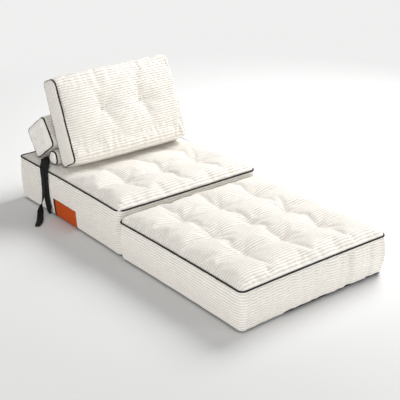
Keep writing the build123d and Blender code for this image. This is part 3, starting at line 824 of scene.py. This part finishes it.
def crown_over(name, x, y, depth):
    """Height of the quilted top over its seam: puffs, furrows between tufts, and deep tufts."""
    props = settings().block
    block, rows = BLOCKS[name], tuft_rows(BLOCKS[name])
    rest = np.abs(y - block["near"]) / span_of(block)
    level = np.interp(rest, SEAT_STATIONS, SEAT_LEVELS) if name == "seat" else np.ones_like(x)
    edge = 1 - np.clip(depth / CROWN_RUN, 0, 1)
    rise = (1 - edge ** 2.3) ** 0.62
    hill = props.hill_share * level
    line_x = np.zeros_like(x)
    for column in TUFT_COLUMNS:
        line_x = np.maximum(line_x, np.exp(-((x - column) / FURROW_WIDTH) ** 2))
    line_y = np.zeros_like(x)
    for row in rows:
        line_y = np.maximum(line_y, np.exp(-((y - row) / FURROW_WIDTH) ** 2))
    fade = smooth(depth, 0.03, 0.16)
    furrow = np.maximum(line_x, line_y) * fade
    height = hill * (1 - props.furrow_depth * furrow)
    for row, row_level in zip(rows, block["row_levels"]):
        for number, column in enumerate(TUFT_COLUMNS):
            dx, dy = x - column, y - row
            distance = np.sqrt(dx * dx + dy * dy)
            angle = np.arctan2(dy, dx)
            turn = number * 1.3 + row * 9.0
            spokes = 0.5 + 0.5 * np.cos(TUFT_SPOKES * angle + turn + 0.6 * np.sin(2 * angle + turn))
            reach = 0.026 + 0.014 * spokes ** 2
            dent = 1 / (1 + (distance / reach) ** 2) ** 1.15
            height = height * (1 - dent) + dent * props.tuft_share * row_level
    flat = np.stack([x.ravel(), y.ravel(), 0 * x.ravel()], 1)
    lumps = wander_over(flat, block["lump_seed"], 9.0)
    height = height + 0.05 * lumps.reshape(x.shape) * level * fade
    return CROWN * height * rise


def band_rows(name):
    """Depth inside the outline and level of each row of the side, from the seam to the floor."""
    rows = []
    seam = BLOCKS[name]["height"]
    for share in np.linspace(0, 1, SIDE_ROWS + 1)[1:]:
        level = seam - share * (seam - BOTTOM_RADIUS - CLOTH_LEVEL)
        below = seam - level
        tuck = (PIPING_REACH - SET_BACK) * math.exp(-below / 0.006)
        belly = BLOCKS[name]["belly"] * math.sin(math.pi * share)
        rows.append((SET_BACK + tuck - belly, level))
    for step in range(1, BOTTOM_ROWS + 1):
        angle = math.pi / 2 * step / BOTTOM_ROWS
        depth = SET_BACK + BOTTOM_RADIUS * (1 - math.cos(angle))
        rows.append((depth, CLOTH_LEVEL + BOTTOM_RADIUS * (1 - math.sin(angle))))
    return rows


def gathers(name, points, run, below):
    """How far the side stands out in soft upright gathers under the piping."""
    props = settings().block
    front = smooth(-points[:, 1], 0.90, 0.955) if name == "foot" else 0 * points[:, 1]
    right = 0.35 + 0.65 * smooth(points[:, 0], -0.30, 0.25)
    near_hinge = np.exp(-((points[:, 1] - HINGE_Y) / 0.09) ** 2)
    amount = 0.25 + 1.7 * front * right + 0.60 * near_hinge
    folds = wander(run, BLOCKS[name]["fold_seed"], 22.0)
    fine = wander(run, 9.0, 55.0)
    ridges = 0.9 - 2.6 * np.abs(folds) ** 0.7 + 0.9 * fine
    fall = np.exp(-below / (0.075 + 0.060 * front)) * (1 - np.exp(-below / 0.020))
    slow = wander_over(np.stack([points[:, 0], points[:, 1], 0 * run + below], 1), 8.0, 7.0)
    return props.gather_depth * amount * ridges * fall + 0.0022 * slow * min(1.0, below / 0.03)


def seam_loop(across, along):
    """Numbers of the points on the rim of a grid, once round."""
    loop = [i * along for i in range(across)]
    loop += [(across - 1) * along + j for j in range(1, along)]
    loop += [i * along + along - 1 for i in range(across - 2, -1, -1)]
    loop += [j for j in range(along - 2, 0, -1)]
    return loop


def quilted_top(name):
    """Swollen top of a block: its points, faces and UVs, the numbers of its rim, and the seam."""
    block = BLOCKS[name]
    x, y, depth = top_grid(name)
    z = block["height"] + crown_over(name, x, y, depth)
    across, along = x.shape
    points = np.stack([x.ravel(), y.ravel(), z.ravel()], 1)
    cell_u = eased_places(across - 1) * block["half"]
    cell_v = eased_places(along - 1) * span_of(block) / 2
    faces, uvs = [], []
    for i in range(across - 1):
        for j in range(along - 1):
            a, b = i * along + j, (i + 1) * along + j
            faces.append((a, b, b + 1, a + 1))
            uvs.append(((cell_u[i], cell_v[j]), (cell_u[i + 1], cell_v[j]),
                        (cell_u[i + 1], cell_v[j + 1]), (cell_u[i], cell_v[j + 1])))
    pinned = np.zeros(len(points))
    pinned[(depth < 1e-6).ravel()] = 1.0
    for row in tuft_rows(block):
        for column in TUFT_COLUMNS:
            distance = np.hypot(points[:, 0] - column, points[:, 1] - row)
            pinned[distance < TUFT_HOLD] = 1.0
    after = swell(name + " swell", points, faces, pinned, SWELL_PRESSURE, 0.035)
    moved = capped(points, after, settings().block.swell_cap)
    if name == "seat":
        free = 1 - smooth(points[:, 1], FIRM_START, FIRM_END)
        moved = points + (moved - points) * free[:, None]
    loop = seam_loop(across, along)
    ring = points[loop]
    moved[loop] = ring
    return moved, faces, uvs, loop, ring


def outward_of(ring, middle):
    """Level directions that point out of a closed row of points."""
    tangent = (np.roll(ring, -1, 0) - np.roll(ring, 1, 0))[:, :2]
    tangent /= np.linalg.norm(tangent, axis=1)[:, None]
    outward = np.stack([tangent[:, 1], -tangent[:, 0]], 1)
    if np.mean(np.sum(outward * (ring[:, :2] - middle), 1)) < 0:
        outward = -outward
    return outward


def build_block(name):
    """Closed cover of one block, and its seam: quilted top, side band and underside."""
    block = BLOCKS[name]
    moved, faces, uvs, loop, ring = quilted_top(name)
    run_step = np.linalg.norm((np.roll(ring, -1, 0) - ring)[:, :2], axis=1)
    run = np.concatenate([[0], np.cumsum(run_step)])
    outward = outward_of(ring, np.array([0, (block["near"] + block["far"]) / 2]))
    at_hinge = np.abs(ring[:, 1] - block["near"]) < 0.02
    limit = np.where(at_hinge, HINGE_REACH, 1.0)
    # On the foot's front right the dark base-cloth band reaches higher: painted shade for the gap under its
    # bottom edge.
    front_right = (ring[:, 1] < -0.93) & (ring[:, 0] > -0.20)
    cloth_and_shade_below = np.where(front_right, CLOTH_SHADE_EDGE_FRONT, CLOTH_EDGE)
    all_points = [moved]
    kinds = [0] * len(faces)
    previous = np.array(loop)
    count = len(moved)
    size = len(loop)
    level_before = block["height"]
    for depth_in, level in band_rows(name):
        out = PIPING_REACH - depth_in + gathers(name, ring, run[:-1], block["height"] - level)
        out = np.minimum(out, limit)
        all_points.append(np.concatenate([ring[:, :2] + outward * out[:, None],
                                          np.full((size, 1), level)], 1))
        current = np.arange(count, count + size)
        faces += strip(previous, current)
        uvs += strip_uvs(run, level_before, level)
        kinds += [int(below) for below in level < cloth_and_shade_below]
        previous = current
        count += size
        level_before = level
    whole = np.concatenate(all_points)
    obj = mesh_piece(name + "_cover", whole, faces, uvs, ["ribbed corduroy", "black base cloth"], kinds)
    refine(obj)
    close_underside(obj)
    return obj, ring


def piping_line(name, ring):
    """Line of a block's piping, just outside its seam. The seat's goes into the gathers at the
    near left corner, and lies lower along the right side."""
    block = BLOCKS[name]
    middle = Vector((0.0, (block["near"] + block["far"]) / 2, 0.0))
    line = []
    for point in ring:
        away = ((Vector(point) - middle) * Vector((1.0, 1.0, 0.0))).normalized()
        shift = away * PIPING_OUT + Vector((0.0, 0.0, PIPING_UP))
        if name == "seat":
            corner = math.hypot(point[0] - DIP_PLACE[0], point[1] - DIP_PLACE[1])
            shift -= away * DIP_DEPTH * math.exp(-(corner / DIP_REACH) ** 2)
            shift.z -= RIGHT_DROP * float(smooth(point[0], 0.42, 0.44) * smooth(point[1], 0.25, 0.40))
        line.append(Vector(point) + shift)
    return line


# Loose cushions

def rounded_outline(corners, steps=8):
    """Dense closed outline, with its corners rounded, from the bottom up the front and back."""
    dense = []
    count = len(corners)
    for index, (y, z, radius) in enumerate(corners):
        corner = np.array([y, z])
        before = np.array(corners[index - 1][:2]) - corner
        after = np.array(corners[(index + 1) % count][:2]) - corner
        before /= np.linalg.norm(before)
        after /= np.linalg.norm(after)
        half_turn = math.acos(float(np.clip(before @ after, -1, 1))) / 2
        reach = radius / math.tan(half_turn)
        bisector = (before + after) / np.linalg.norm(before + after)
        centre = corner + bisector * radius / math.sin(half_turn)
        start, end = corner + before * reach - centre, corner + after * reach - centre
        first, last = math.atan2(start[1], start[0]), math.atan2(end[1], end[0])
        turn = (last - first + math.pi) % (2 * math.pi) - math.pi
        for step in range(steps + 1):
            angle = first + turn * step / steps
            dense.append(centre + radius * np.array([math.cos(angle), math.sin(angle)]))
    return np.array(dense)


def even_outline(corners, half_count):
    """The outline in even steps: half of them up the front, half of them down the back."""
    dense = rounded_outline(corners)
    dense = np.concatenate([dense, dense[:1]])
    steps = np.linalg.norm(np.diff(dense, axis=0), axis=1)
    along = np.concatenate([[0], np.cumsum(steps)])
    total = along[-1]

    def at(places):
        places = np.mod(places, total)
        return np.stack([np.interp(places, along, dense[:, 0]), np.interp(places, along, dense[:, 1])], 1)

    fine = at(np.linspace(0, total, 4000, endpoint=False))
    middle_y = (dense[:, 0].min() + dense[:, 0].max()) / 2
    near = np.abs(fine[:, 0] - middle_y)
    low = fine[:, 1] < (dense[:, 1].min() + dense[:, 1].max()) / 2
    bottom = np.argmin(np.where(low, near, 9)) * total / 4000
    top = np.argmin(np.where(~low, near, 9)) * total / 4000
    up = (top - bottom) % total
    first = at(bottom + np.linspace(0, up, half_count, endpoint=False))
    second = at(top + np.linspace(0, total - up, half_count, endpoint=False))
    return np.concatenate([first, second])


def outline_normals(outline):
    """Directions out of a cushion's section."""
    tangent = np.roll(outline, -1, 0) - np.roll(outline, 1, 0)
    tangent /= np.linalg.norm(tangent, axis=1)[:, None]
    normal = np.stack([-tangent[:, 1], tangent[:, 0]], 1)
    if np.mean(np.sum(normal * (outline - outline.mean(0)), 1)) < 0:
        normal = -normal
    return normal


def cushion_tube(facts, outline, girth, push):
    """Tube of a cushion, ring by ring: the place of each ring, and the points.
    push gives how far each point stands out of the plain outline."""
    half, tuck = facts["half"], facts["tuck"]
    normals = outline_normals(outline)
    places = eased_places(facts["cells"], 0.45) * half
    points = []
    for x in places:
        gap = half - abs(x)
        seam_in = PIPING_REACH + (tuck if x > 0 else 0.0)
        ease = 0.007 if tuck and x > 0 else 0.016
        out = push(x, outline, normals) * (1 - math.exp(-gap / ease)) - seam_in * math.exp(-gap / 0.006)
        waver = wander(girth[:-1], math.copysign(facts["seed"], x), 13.0)
        moved = outline + normals * (out + SEAM_WAVE * waver * math.exp(-gap / 0.02))[:, None]
        points.append(np.concatenate([np.full((len(outline), 1), x), moved], 1))
    return places, np.concatenate(points)


def end_panel(edge, side, half, dome, seed):
    """Inner points of a domed end panel, in rungs from the front of its rim to the back."""
    size = len(edge)
    share = ((1 - np.cos(np.pi * np.linspace(0, 1, END_RUNGS + 1)[1:-1])) / 2)[:, None]
    flat = np.concatenate([edge[j] + (edge[size - j] - edge[j]) * share for j in range(1, size // 2)])
    gap = np.sqrt(((flat[:, None, :] - edge[None, :, :]) ** 2).sum(2)).min(1)
    slope = 1 - np.clip(gap / END_RISE, 0, 1)
    lumps = wander_over(np.concatenate([flat, 0 * flat[:, :1]], 1), seed + side, 26.0)
    height = dome * np.sqrt(1 - slope ** 2) + 0.0028 * lumps * np.clip(gap / 0.02, 0, 1)
    return np.concatenate([(side * (half + height))[:, None], flat], 1)


def end_faces(base, start, size):
    """Faces of an end panel: quads between its rungs, and a fan at the bottom and at the top."""
    inner = END_RUNGS - 1
    rungs = [[base + j, *range(start + (j - 1) * inner, start + j * inner), base + size - j]
             for j in range(1, size // 2)]
    faces = []
    for low, high in zip(rungs, rungs[1:]):
        faces += [(low[k], low[k + 1], high[k + 1], high[k]) for k in range(END_RUNGS)]
    for tip, rung in ((base, rungs[0]), (base + size // 2, rungs[-1])):
        faces += [(tip, rung[k], rung[k + 1]) for k in range(END_RUNGS)]
    return faces


def build_cushion(name, push, hold=None):
    """Closed shell of a loose cushion: a tube with domed end panels, and its two seams."""
    facts = CUSHIONS[name]
    props = settings().cushion
    half, place, stripes = facts["half"], facts["place"], facts["end_stripes"]
    outline = even_outline(facts["corners"], facts["half_count"])
    size = len(outline)
    closing = np.concatenate([outline, outline[:1]])
    girth = np.concatenate([[0], np.cumsum(np.linalg.norm(np.diff(closing, axis=0), axis=1))])
    places, points = cushion_tube(facts, outline, girth, push)
    faces, uvs = [], []
    for i in range(facts["cells"]):
        faces += strip(range(i * size, (i + 1) * size), range((i + 1) * size, (i + 2) * size))
        uvs += [tuple((v, u) for u, v in corners) for corners in strip_uvs(girth, places[i], places[i + 1])]
    kinds = [0] * len(faces)
    if hold:
        pinned = hold(points)
        pinned[:size] = 1.0
        pinned[-size:] = 1.0
        world = [place @ Vector(point) for point in points]
        after = swell(name + "_shell swell", world, faces, pinned, SWELL_PRESSURE, 0.03)
        back = place.inverted()
        after = np.array([back @ Vector(point) for point in after])
        points = capped(points, after, props.swell_cap)
    whole = points
    bases = (0, len(points) - size)
    for side, base in zip((-1, 1), bases):
        dome = props.end_dome * facts["dome_share"]
        panel = end_panel(points[base:base + size, 1:], side, half, dome, facts["seed"])
        panel_faces = end_faces(base, len(whole), size)
        whole = np.concatenate([whole, panel])
        faces += panel_faces
        uvs += [[(whole[k][2], whole[k][1]) if stripes else (whole[k][1], whole[k][2]) for k in face]
                for face in panel_faces]
        kinds += [0 if stripes else 1] * len(panel_faces)
    placed = [place @ Vector(point) for point in whole]
    obj = mesh_piece(name + "_shell", placed, faces, uvs, ["ribbed corduroy", "brushed corduroy"], kinds)
    refine(obj)
    return obj, [[place @ Vector(point) for point in points[base:base + size]] for base in bases]


def dress_cushion(name, push, hold=None):
    """Shell of a loose cushion, with its zip slot and the pipings round its end panels."""
    facts = CUSHIONS[name]
    shell, seams = build_cushion(name, push, hold)
    if facts["zip_slot"]:
        cut_slot(shell, *facts["zip_slot"], facts["place"])
    declare(shell, name, "corduroy", name + "_cover", name + "_end_left", name + "_end_right")
    if facts["tuck"]:
        seams[1] = [point - Vector((0.003 + 0.010 * float(smooth(point.z, 0.60, 0.70)), 0.0, 0.0))
                    for point in seams[1]]
    pipings = [piping_round(name + "_piping_" + word, seam, seed)
               for word, seam, seed in zip(("left", "right"), seams, facts["piping_seeds"])]
    declare(join_pieces(pipings, name + "_end_pipings"), name, "piping", name + "_piping")


def pillow_push(x, outline, normals):
    """Pillow: full front with two tufts and creases, softly rounded elsewhere."""
    crown = settings().cushion.pillow_crown
    z = outline[:, 1]
    front = smooth(-normals[:, 0], 0.2, 0.95)
    share = abs(x) / PILLOW_HALF
    full = (1 - share ** 8) ** 0.5 if x > 0 else (1 - share ** 3.2) ** 0.55
    rise = np.clip(np.sin(np.pi * np.clip((z + 0.02) / 0.490, 0, 1)), 0, 1) ** 0.75
    pull = np.zeros_like(z)
    for number, tuft in enumerate(PILLOW_TUFTS):
        dx, dz = x - tuft, z - PILLOW_TUFT_HEIGHT
        distance = np.sqrt(dx * dx + dz * dz)
        angle = np.arctan2(dz, dx)
        spokes = 0.5 + 0.5 * np.cos(PILLOW_SPOKES * angle + 1.1 + number + 0.7 * np.sin(2 * angle))
        reach = 0.040 + 0.036 * spokes ** 2 * (0.2 + 0.8 * np.sin(angle) ** 2)
        pull = np.maximum(pull, 1 / (1 + (distance / reach) ** 2))
        pull = np.maximum(pull, 1.22 * np.exp(-(distance / PILLOW_PIT) ** 2))
        groove = 0.46 * math.exp(-(dx / 0.024) ** 2) * smooth(z, 0.22, 0.44)
        pull = np.maximum(pull, groove * (1 - 0.4 * smooth(z, 0.42, 0.46)))
        low = 0.16 * math.exp(-(dx / 0.030) ** 2) * (1 - smooth(z, 0.05, 0.26))
        pull = np.maximum(pull, low)
    level = crown * full * rise * (1 - np.minimum(pull, PILLOW_PULL))
    lean = 0.9 * noise.noise(Vector((x * 7.0, 1.0, 9.0)))
    folds = np.array([noise.noise(Vector(((x + lean * value) * 27.0, 2.2, value * 3.0)))
                      + 0.6 * noise.noise(Vector(((x - lean * value) * 55.0, 5.0, value * 6.0)))
                      for value in z])
    reach_up = 0.045 + 0.035 * (0.5 + noise.noise(Vector((x * 16.0, 3.0, 4.0))))
    bottom = 0.0200 * (0.33 - np.abs(folds)) * np.exp(-((z - 0.040) / reach_up) ** 2)
    upper = 0.0080 * (0.3 - np.abs(folds)) * np.exp(-((z - 0.430) / 0.045) ** 2)
    side_folds = np.array([noise.noise(Vector((7.7, value * 34.0, 3.0))) for value in z])
    right = 0.0050 * (0.3 - np.abs(side_folds)) * math.exp(-(PILLOW_HALF - x) / 0.06)
    left = 0.0030 * (0.3 - np.abs(side_folds)) * math.exp(-(PILLOW_HALF + x) / 0.05)
    front_out = level + bottom + upper + right + left
    top = 0.009 * full * smooth(normals[:, 1], 0.3, 1.0)
    back = 0.008 * full * smooth(normals[:, 0], 0.3, 1.0) * (0.5 + 0.5 * smooth(z, 0.1, 0.4))
    base = 0.018 * full * smooth(-normals[:, 1], 0.3, 1.0)
    shoulder = 0.010 * float(smooth(x, PILLOW_HALF - 0.100, PILLOW_HALF - 0.015)) * (0.4 + 0.6 * rise)
    return front * front_out + top + back + base + shoulder * smooth(-normals[:, 0], -0.4, 0.6)


def pillow_hold(points):
    """What stays put while the pillow swells: its tufts, back and underside."""
    held = smooth(points[:, 1], 0.030, 0.075)
    held = np.maximum(held, 1 - smooth(points[:, 2], 0.0, 0.06))
    for tuft in PILLOW_TUFTS:
        distance = np.hypot(points[:, 0] - tuft, points[:, 2] - PILLOW_TUFT_HEIGHT)
        held[(distance < TUFT_HOLD) & (points[:, 1] < 0.05)] = 1.0
    return held


def bolster_push(x, outline, normals):
    """Bolster: a foam block in a snug cover."""
    bulge = settings().cushion.bolster_bulge
    full = (1 - (abs(x) / BOLSTER_HALF) ** 3.0) ** 0.6
    flat = np.maximum(np.abs(normals[:, 0]), np.abs(normals[:, 1])) ** 2
    folds = noise.noise(Vector((x * 16.0, 4.0, 2.0)))
    return bulge * full * flat + 0.0012 * folds


def roll_push(x, outline, normals):
    """Roll: firm filling in a snug cover."""
    full = (1 - (abs(x) / ROLL_HALF) ** 3.0) ** 0.6
    return 0.002 * full + 0.0006 * noise.noise(Vector((x * 20.0, 1.0, 6.0))) + 0 * outline[:, 0]


# Straps

def ribbon(name, route, turns, seed):
    """Flat strap along the route's own curve. turns gives how far it is twisted at shares of
    its length."""
    props = settings().strap
    curve = bpy.data.curves.new(name + " line", "CURVE")
    curve.dimensions = "3D"
    spline = curve.splines.new("NURBS")
    spline.points.add(len(route) - 1)
    for point, place in zip(spline.points, route):
        point.co = (*place, 1.0)
    spline.order_u = 3
    spline.use_endpoint_u = True
    spline.resolution_u = 12
    line = bpy.data.objects.new(name + " line", curve)
    bpy.context.collection.objects.link(line)
    bpy.context.view_layer.update()
    mesh = bpy.data.meshes.new_from_object(line)
    path = np.array([vertex.co for vertex in mesh.vertices])
    bpy.data.objects.remove(line)
    bpy.data.meshes.remove(mesh)
    steps = np.linalg.norm(np.diff(path, axis=0), axis=1)
    path = path[np.concatenate([[True], steps > 1e-6])]
    steps = np.linalg.norm(np.diff(path, axis=0), axis=1)
    along = np.concatenate([[0], np.cumsum(steps)])
    length = along[-1]
    share = along / length
    tangent = np.gradient(path, axis=0)
    tangent /= np.linalg.norm(tangent, axis=1)[:, None]
    lying = np.array([0.80, -0.60, 0.0])
    hanging = np.array([0.10, -1.0, 0.0])
    down = np.abs(tangent[:, 2])
    mix = smooth(down, 0.25, 0.9)[:, None]
    wide = lying * (1 - mix) + hanging * mix
    wide -= tangent * np.sum(wide * tangent, 1)[:, None]
    wide /= np.linalg.norm(wide, axis=1)[:, None]
    thick = np.cross(tangent, wide)
    stops, angles, widths = zip(*turns)
    twist = np.radians(np.interp(share, stops, angles))
    narrow = np.interp(share, stops, widths)
    wide, thick = (wide * np.cos(twist)[:, None] + thick * np.sin(twist)[:, None],
                   thick * np.cos(twist)[:, None] - wide * np.sin(twist)[:, None])
    half_w, half_t = props.width / 2, props.thickness / 2
    points, faces, uvs = [], [], []
    for index, place in enumerate(path):
        frill = 1 + 0.05 * noise.noise(Vector((along[index] * 40.0, 3.0, seed)))
        cup = 0.0022 * noise.noise(Vector((along[index] * 25.0, 8.0, seed)))
        for w, t in STRAP_PROFILE:
            side = w * half_w * narrow[index] * frill
            points.append(place + wide[index] * side + thick[index] * (t * half_t + cup * (w * w - 0.4)))
    size = len(STRAP_PROFILE)
    round_it = [k / size for k in range(size + 1)]
    for index in range(len(path) - 1):
        start = index * size
        faces += strip(range(start, start + size), range(start + size, start + 2 * size))
        uvs += strip_uvs(round_it, along[index], along[index + 1])
    faces.append(tuple(range(size)))
    uvs.append([(0.0, 0.0)] * size)
    last = (len(path) - 1) * size
    faces.append(tuple(range(last, last + size)))
    uvs.append([(0.0, 0.0)] * size)
    obj = mesh_piece(name, points, faces, uvs, ["black webbing"])
    return obj, [tuple(point) for point in path], float(length)


def build_camera():
    camera_data = bpy.data.cameras.new("camera")
    camera_data.lens = settings().stage.lens
    camera_data.sensor_width = 36.0
    camera = bpy.data.objects.new("camera", camera_data)
    bpy.context.collection.objects.link(camera)
    camera.location = CAMERA_PLACE
    camera.rotation_euler = [math.radians(angle) for angle in CAMERA_TURN]
    bpy.context.scene.camera = camera


class SOFA_OT_stage(Operator):
    """Adds the camera, the pale floor and the soft studio light"""
    bl_idname = "sofa.stage"
    bl_label = "Stage"

    def execute(self, context):
        props = settings().stage
        build_camera()
        deselect()
        bpy.ops.mesh.primitive_grid_add(x_subdivisions=4, y_subdivisions=4, size=FLOOR_SIZE)
        floor = context.active_object
        floor.name = floor.data.name = "floor"
        floor.data.materials.append(finish_of("pale floor"))
        scene = context.scene
        world = bpy.data.worlds.new("soft room")
        world.use_nodes = True
        sky = world.node_tree.nodes["Background"]
        sky.inputs[0].default_value = (1.0, 0.995, 0.985, 1.0)
        put(world.node_tree, sky.inputs[1],
            maths(world.node_tree, "MULTIPLY_ADD", seen_directly(world.node_tree),
                  BACKGROUND_LEVEL - props.world_level, props.world_level))
        scene.world = world
        for name, power, share, size, place, colour in LAMPS:
            lamp_data = bpy.data.lights.new(name, "AREA")
            lamp_data.energy = getattr(props, power) * share
            lamp_data.shape = "DISK"
            lamp_data.size = size
            lamp_data.color = colour
            lamp = bpy.data.objects.new(name, lamp_data)
            context.collection.objects.link(lamp)
            lamp.location = place
            aim = Vector(LAMP_AIM) - lamp.location
            lamp.rotation_euler = aim.to_track_quat("-Z", "Y").to_euler()
        scene.view_settings.view_transform = "Standard"
        return {"FINISHED"}


class SOFA_OT_straps(Operator):
    """Adds the two black tie straps that hang over the seat's left side"""
    bl_idname = "sofa.straps"
    bl_label = "Tie Straps"

    def execute(self, context):
        for name, route, turns, node, seed in (
                ("strap_long", STRAP_LONG_ROUTE, STRAP_LONG_TURNS, "strap_tail_long", 1.0),
                ("strap_short", STRAP_SHORT_ROUTE, STRAP_SHORT_TURNS, "strap_tail_short", 5.0)):
            obj, path, length = ribbon(name, route, turns, seed)
            declare(obj, "seat", "webbing", node)
        return {"FINISHED"}


class SOFA_OT_block_covers(Operator):
    """Adds the quilted corduroy covers of the seat and the foot with their piping"""
    bl_idname = "sofa.block_covers"
    bl_label = "Block Covers"

    def execute(self, context):
        for name, block in BLOCKS.items():
            cover, ring = build_block(name)
            cut_slot(cover, *block["zip_slot"])
            declare(cover, name, "corduroy", name + "_top_panel", name + "_boxing")
            piping = piping_round(name + "_edge_piping", piping_line(name, ring), block["piping_seed"])
            declare(piping, name, "piping", name + "_piping")
        return {"FINISHED"}


class SOFA_OT_side_patch(Operator):
    """Adds the plain orange patch on the seat's left side with its dark edge"""
    bl_idname = "sofa.side_patch"
    bl_label = "Side Patch"

    def execute(self, context):
        cover = bpy.data.objects["seat_cover"]
        for name, start, end, wall, material, slot_name, node in PATCH_PIECES:
            obj = bpy.data.objects.new(name, cover.data.copy())
            obj.data.name = name
            context.collection.objects.link(obj)
            work = bmesh.new()
            work.from_mesh(obj.data)
            far = []
            for face in work.faces:
                middle = face.calc_center_median()
                side = (middle.x < -0.40 and start - PATCH_MARGIN < middle.y < end + PATCH_MARGIN
                        and middle.z < PATCH_TOP)
                if not side or face.normal.x > -0.15:
                    far.append(face)
            bmesh.ops.delete(work, geom=far, context="FACES")
            work.to_mesh(obj.data)
            work.free()
            activate(obj)
            bpy.ops.object.mode_set(mode="EDIT")
            for place, normal in (((0, start, 0), (0, -1, 0)), ((0, end, 0), (0, 1, 0)),
                                  ((0, 0, PATCH_HIGH), (0, 0, 1)), ((0, 0, PATCH_LOW), (0, 0, -1))):
                bpy.ops.mesh.select_all(action="SELECT")
                bpy.ops.mesh.bisect(plane_co=place, plane_no=normal, clear_outer=True)
            bpy.ops.mesh.select_all(action="SELECT")
            bpy.ops.transform.shrink_fatten(value=PATCH_CLEARANCE)
            bpy.ops.object.mode_set(mode="OBJECT")
            thicken = obj.modifiers.new("wall", "SOLIDIFY")
            thicken.thickness = wall
            thicken.offset = 1.0
            bpy.ops.object.modifier_apply(modifier="wall")
            obj.data.materials.clear()
            obj.data.materials.append(finish_of(material))
            obj.data.polygons.foreach_set("material_index", [0] * len(obj.data.polygons))
            declare(obj, "seat", slot_name, node)
        return {"FINISHED"}


class SOFA_OT_pillow(Operator):
    """Adds the tufted back pillow with its end pipings"""
    bl_idname = "sofa.pillow"
    bl_label = "Back Pillow"

    def execute(self, context):
        dress_cushion("pillow", pillow_push, pillow_hold)
        return {"FINISHED"}


class SOFA_OT_bolster(Operator):
    """Adds the bolster behind the pillow with its end pipings"""
    bl_idname = "sofa.bolster"
    bl_label = "Bolster"

    def execute(self, context):
        dress_cushion("bolster", bolster_push)
        return {"FINISHED"}


class SOFA_OT_roll(Operator):
    """Adds the small roll under the bolster with its end pipings"""
    bl_idname = "sofa.roll"
    bl_label = "Roll"

    def execute(self, context):
        dress_cushion("roll", roll_push)
        return {"FINISHED"}


class SOFA_OT_kept_parts(Operator):
    """Gives the parts kept from the solid model their finishes"""
    bl_idname = "sofa.kept_parts"
    bl_label = "Kept Parts"

    def execute(self, context):
        for name, node in frame["nodes"].items():
            for ending, material in KEPT_FINISHES.items():
                if name.endswith(ending):
                    if node.material_slots:
                        for slot in node.material_slots:
                            slot.material = finish_of(material)
                    else:
                        node.data.materials.append(finish_of(material))
        return {"FINISHED"}


STEPS = (SOFA_OT_stage, SOFA_OT_straps, SOFA_OT_block_covers, SOFA_OT_side_patch, SOFA_OT_pillow,
         SOFA_OT_bolster, SOFA_OT_roll, SOFA_OT_kept_parts)


class SOFA_PT_panel(Panel):
    """Lists the pieces and their settings"""
    bl_idname = "SOFA_PT_panel"
    bl_label = "Folding Sofa Bed"
    bl_space_type = "VIEW_3D"
    bl_region_type = "UI"
    bl_category = "Sofa Bed"

    def draw(self, context):
        layout = self.layout
        for step in STEPS:
            layout.operator(step.bl_idname)
        bed = context.scene.sofa_bed
        for group in (bed.fabric, bed.block, bed.cushion, bed.strap, bed.stage):
            box = layout.box()
            for name in group.__annotations__:
                box.prop(group, name)


CLASSES = (SofaFabricSettings, SofaBlockSettings, SofaCushionSettings, SofaStrapSettings,
           SofaStageSettings, SofaBedSettings, *STEPS, SOFA_PT_panel)


def register():
    for item in CLASSES:
        bpy.utils.register_class(item)
    bpy.types.Scene.sofa_bed = PointerProperty(type=SofaBedSettings)


def unregister():
    del bpy.types.Scene.sofa_bed
    for item in reversed(CLASSES):
        bpy.utils.unregister_class(item)


def main():
    """Builds every piece in order."""
    register()
    deselect()
    bpy.ops.sofa.stage()
    bpy.ops.sofa.straps()
    bpy.ops.sofa.block_covers()
    bpy.ops.sofa.side_patch()
    bpy.ops.sofa.pillow()
    bpy.ops.sofa.bolster()
    bpy.ops.sofa.roll()
    bpy.ops.sofa.kept_parts()


if __name__ == "__main__":
    main()
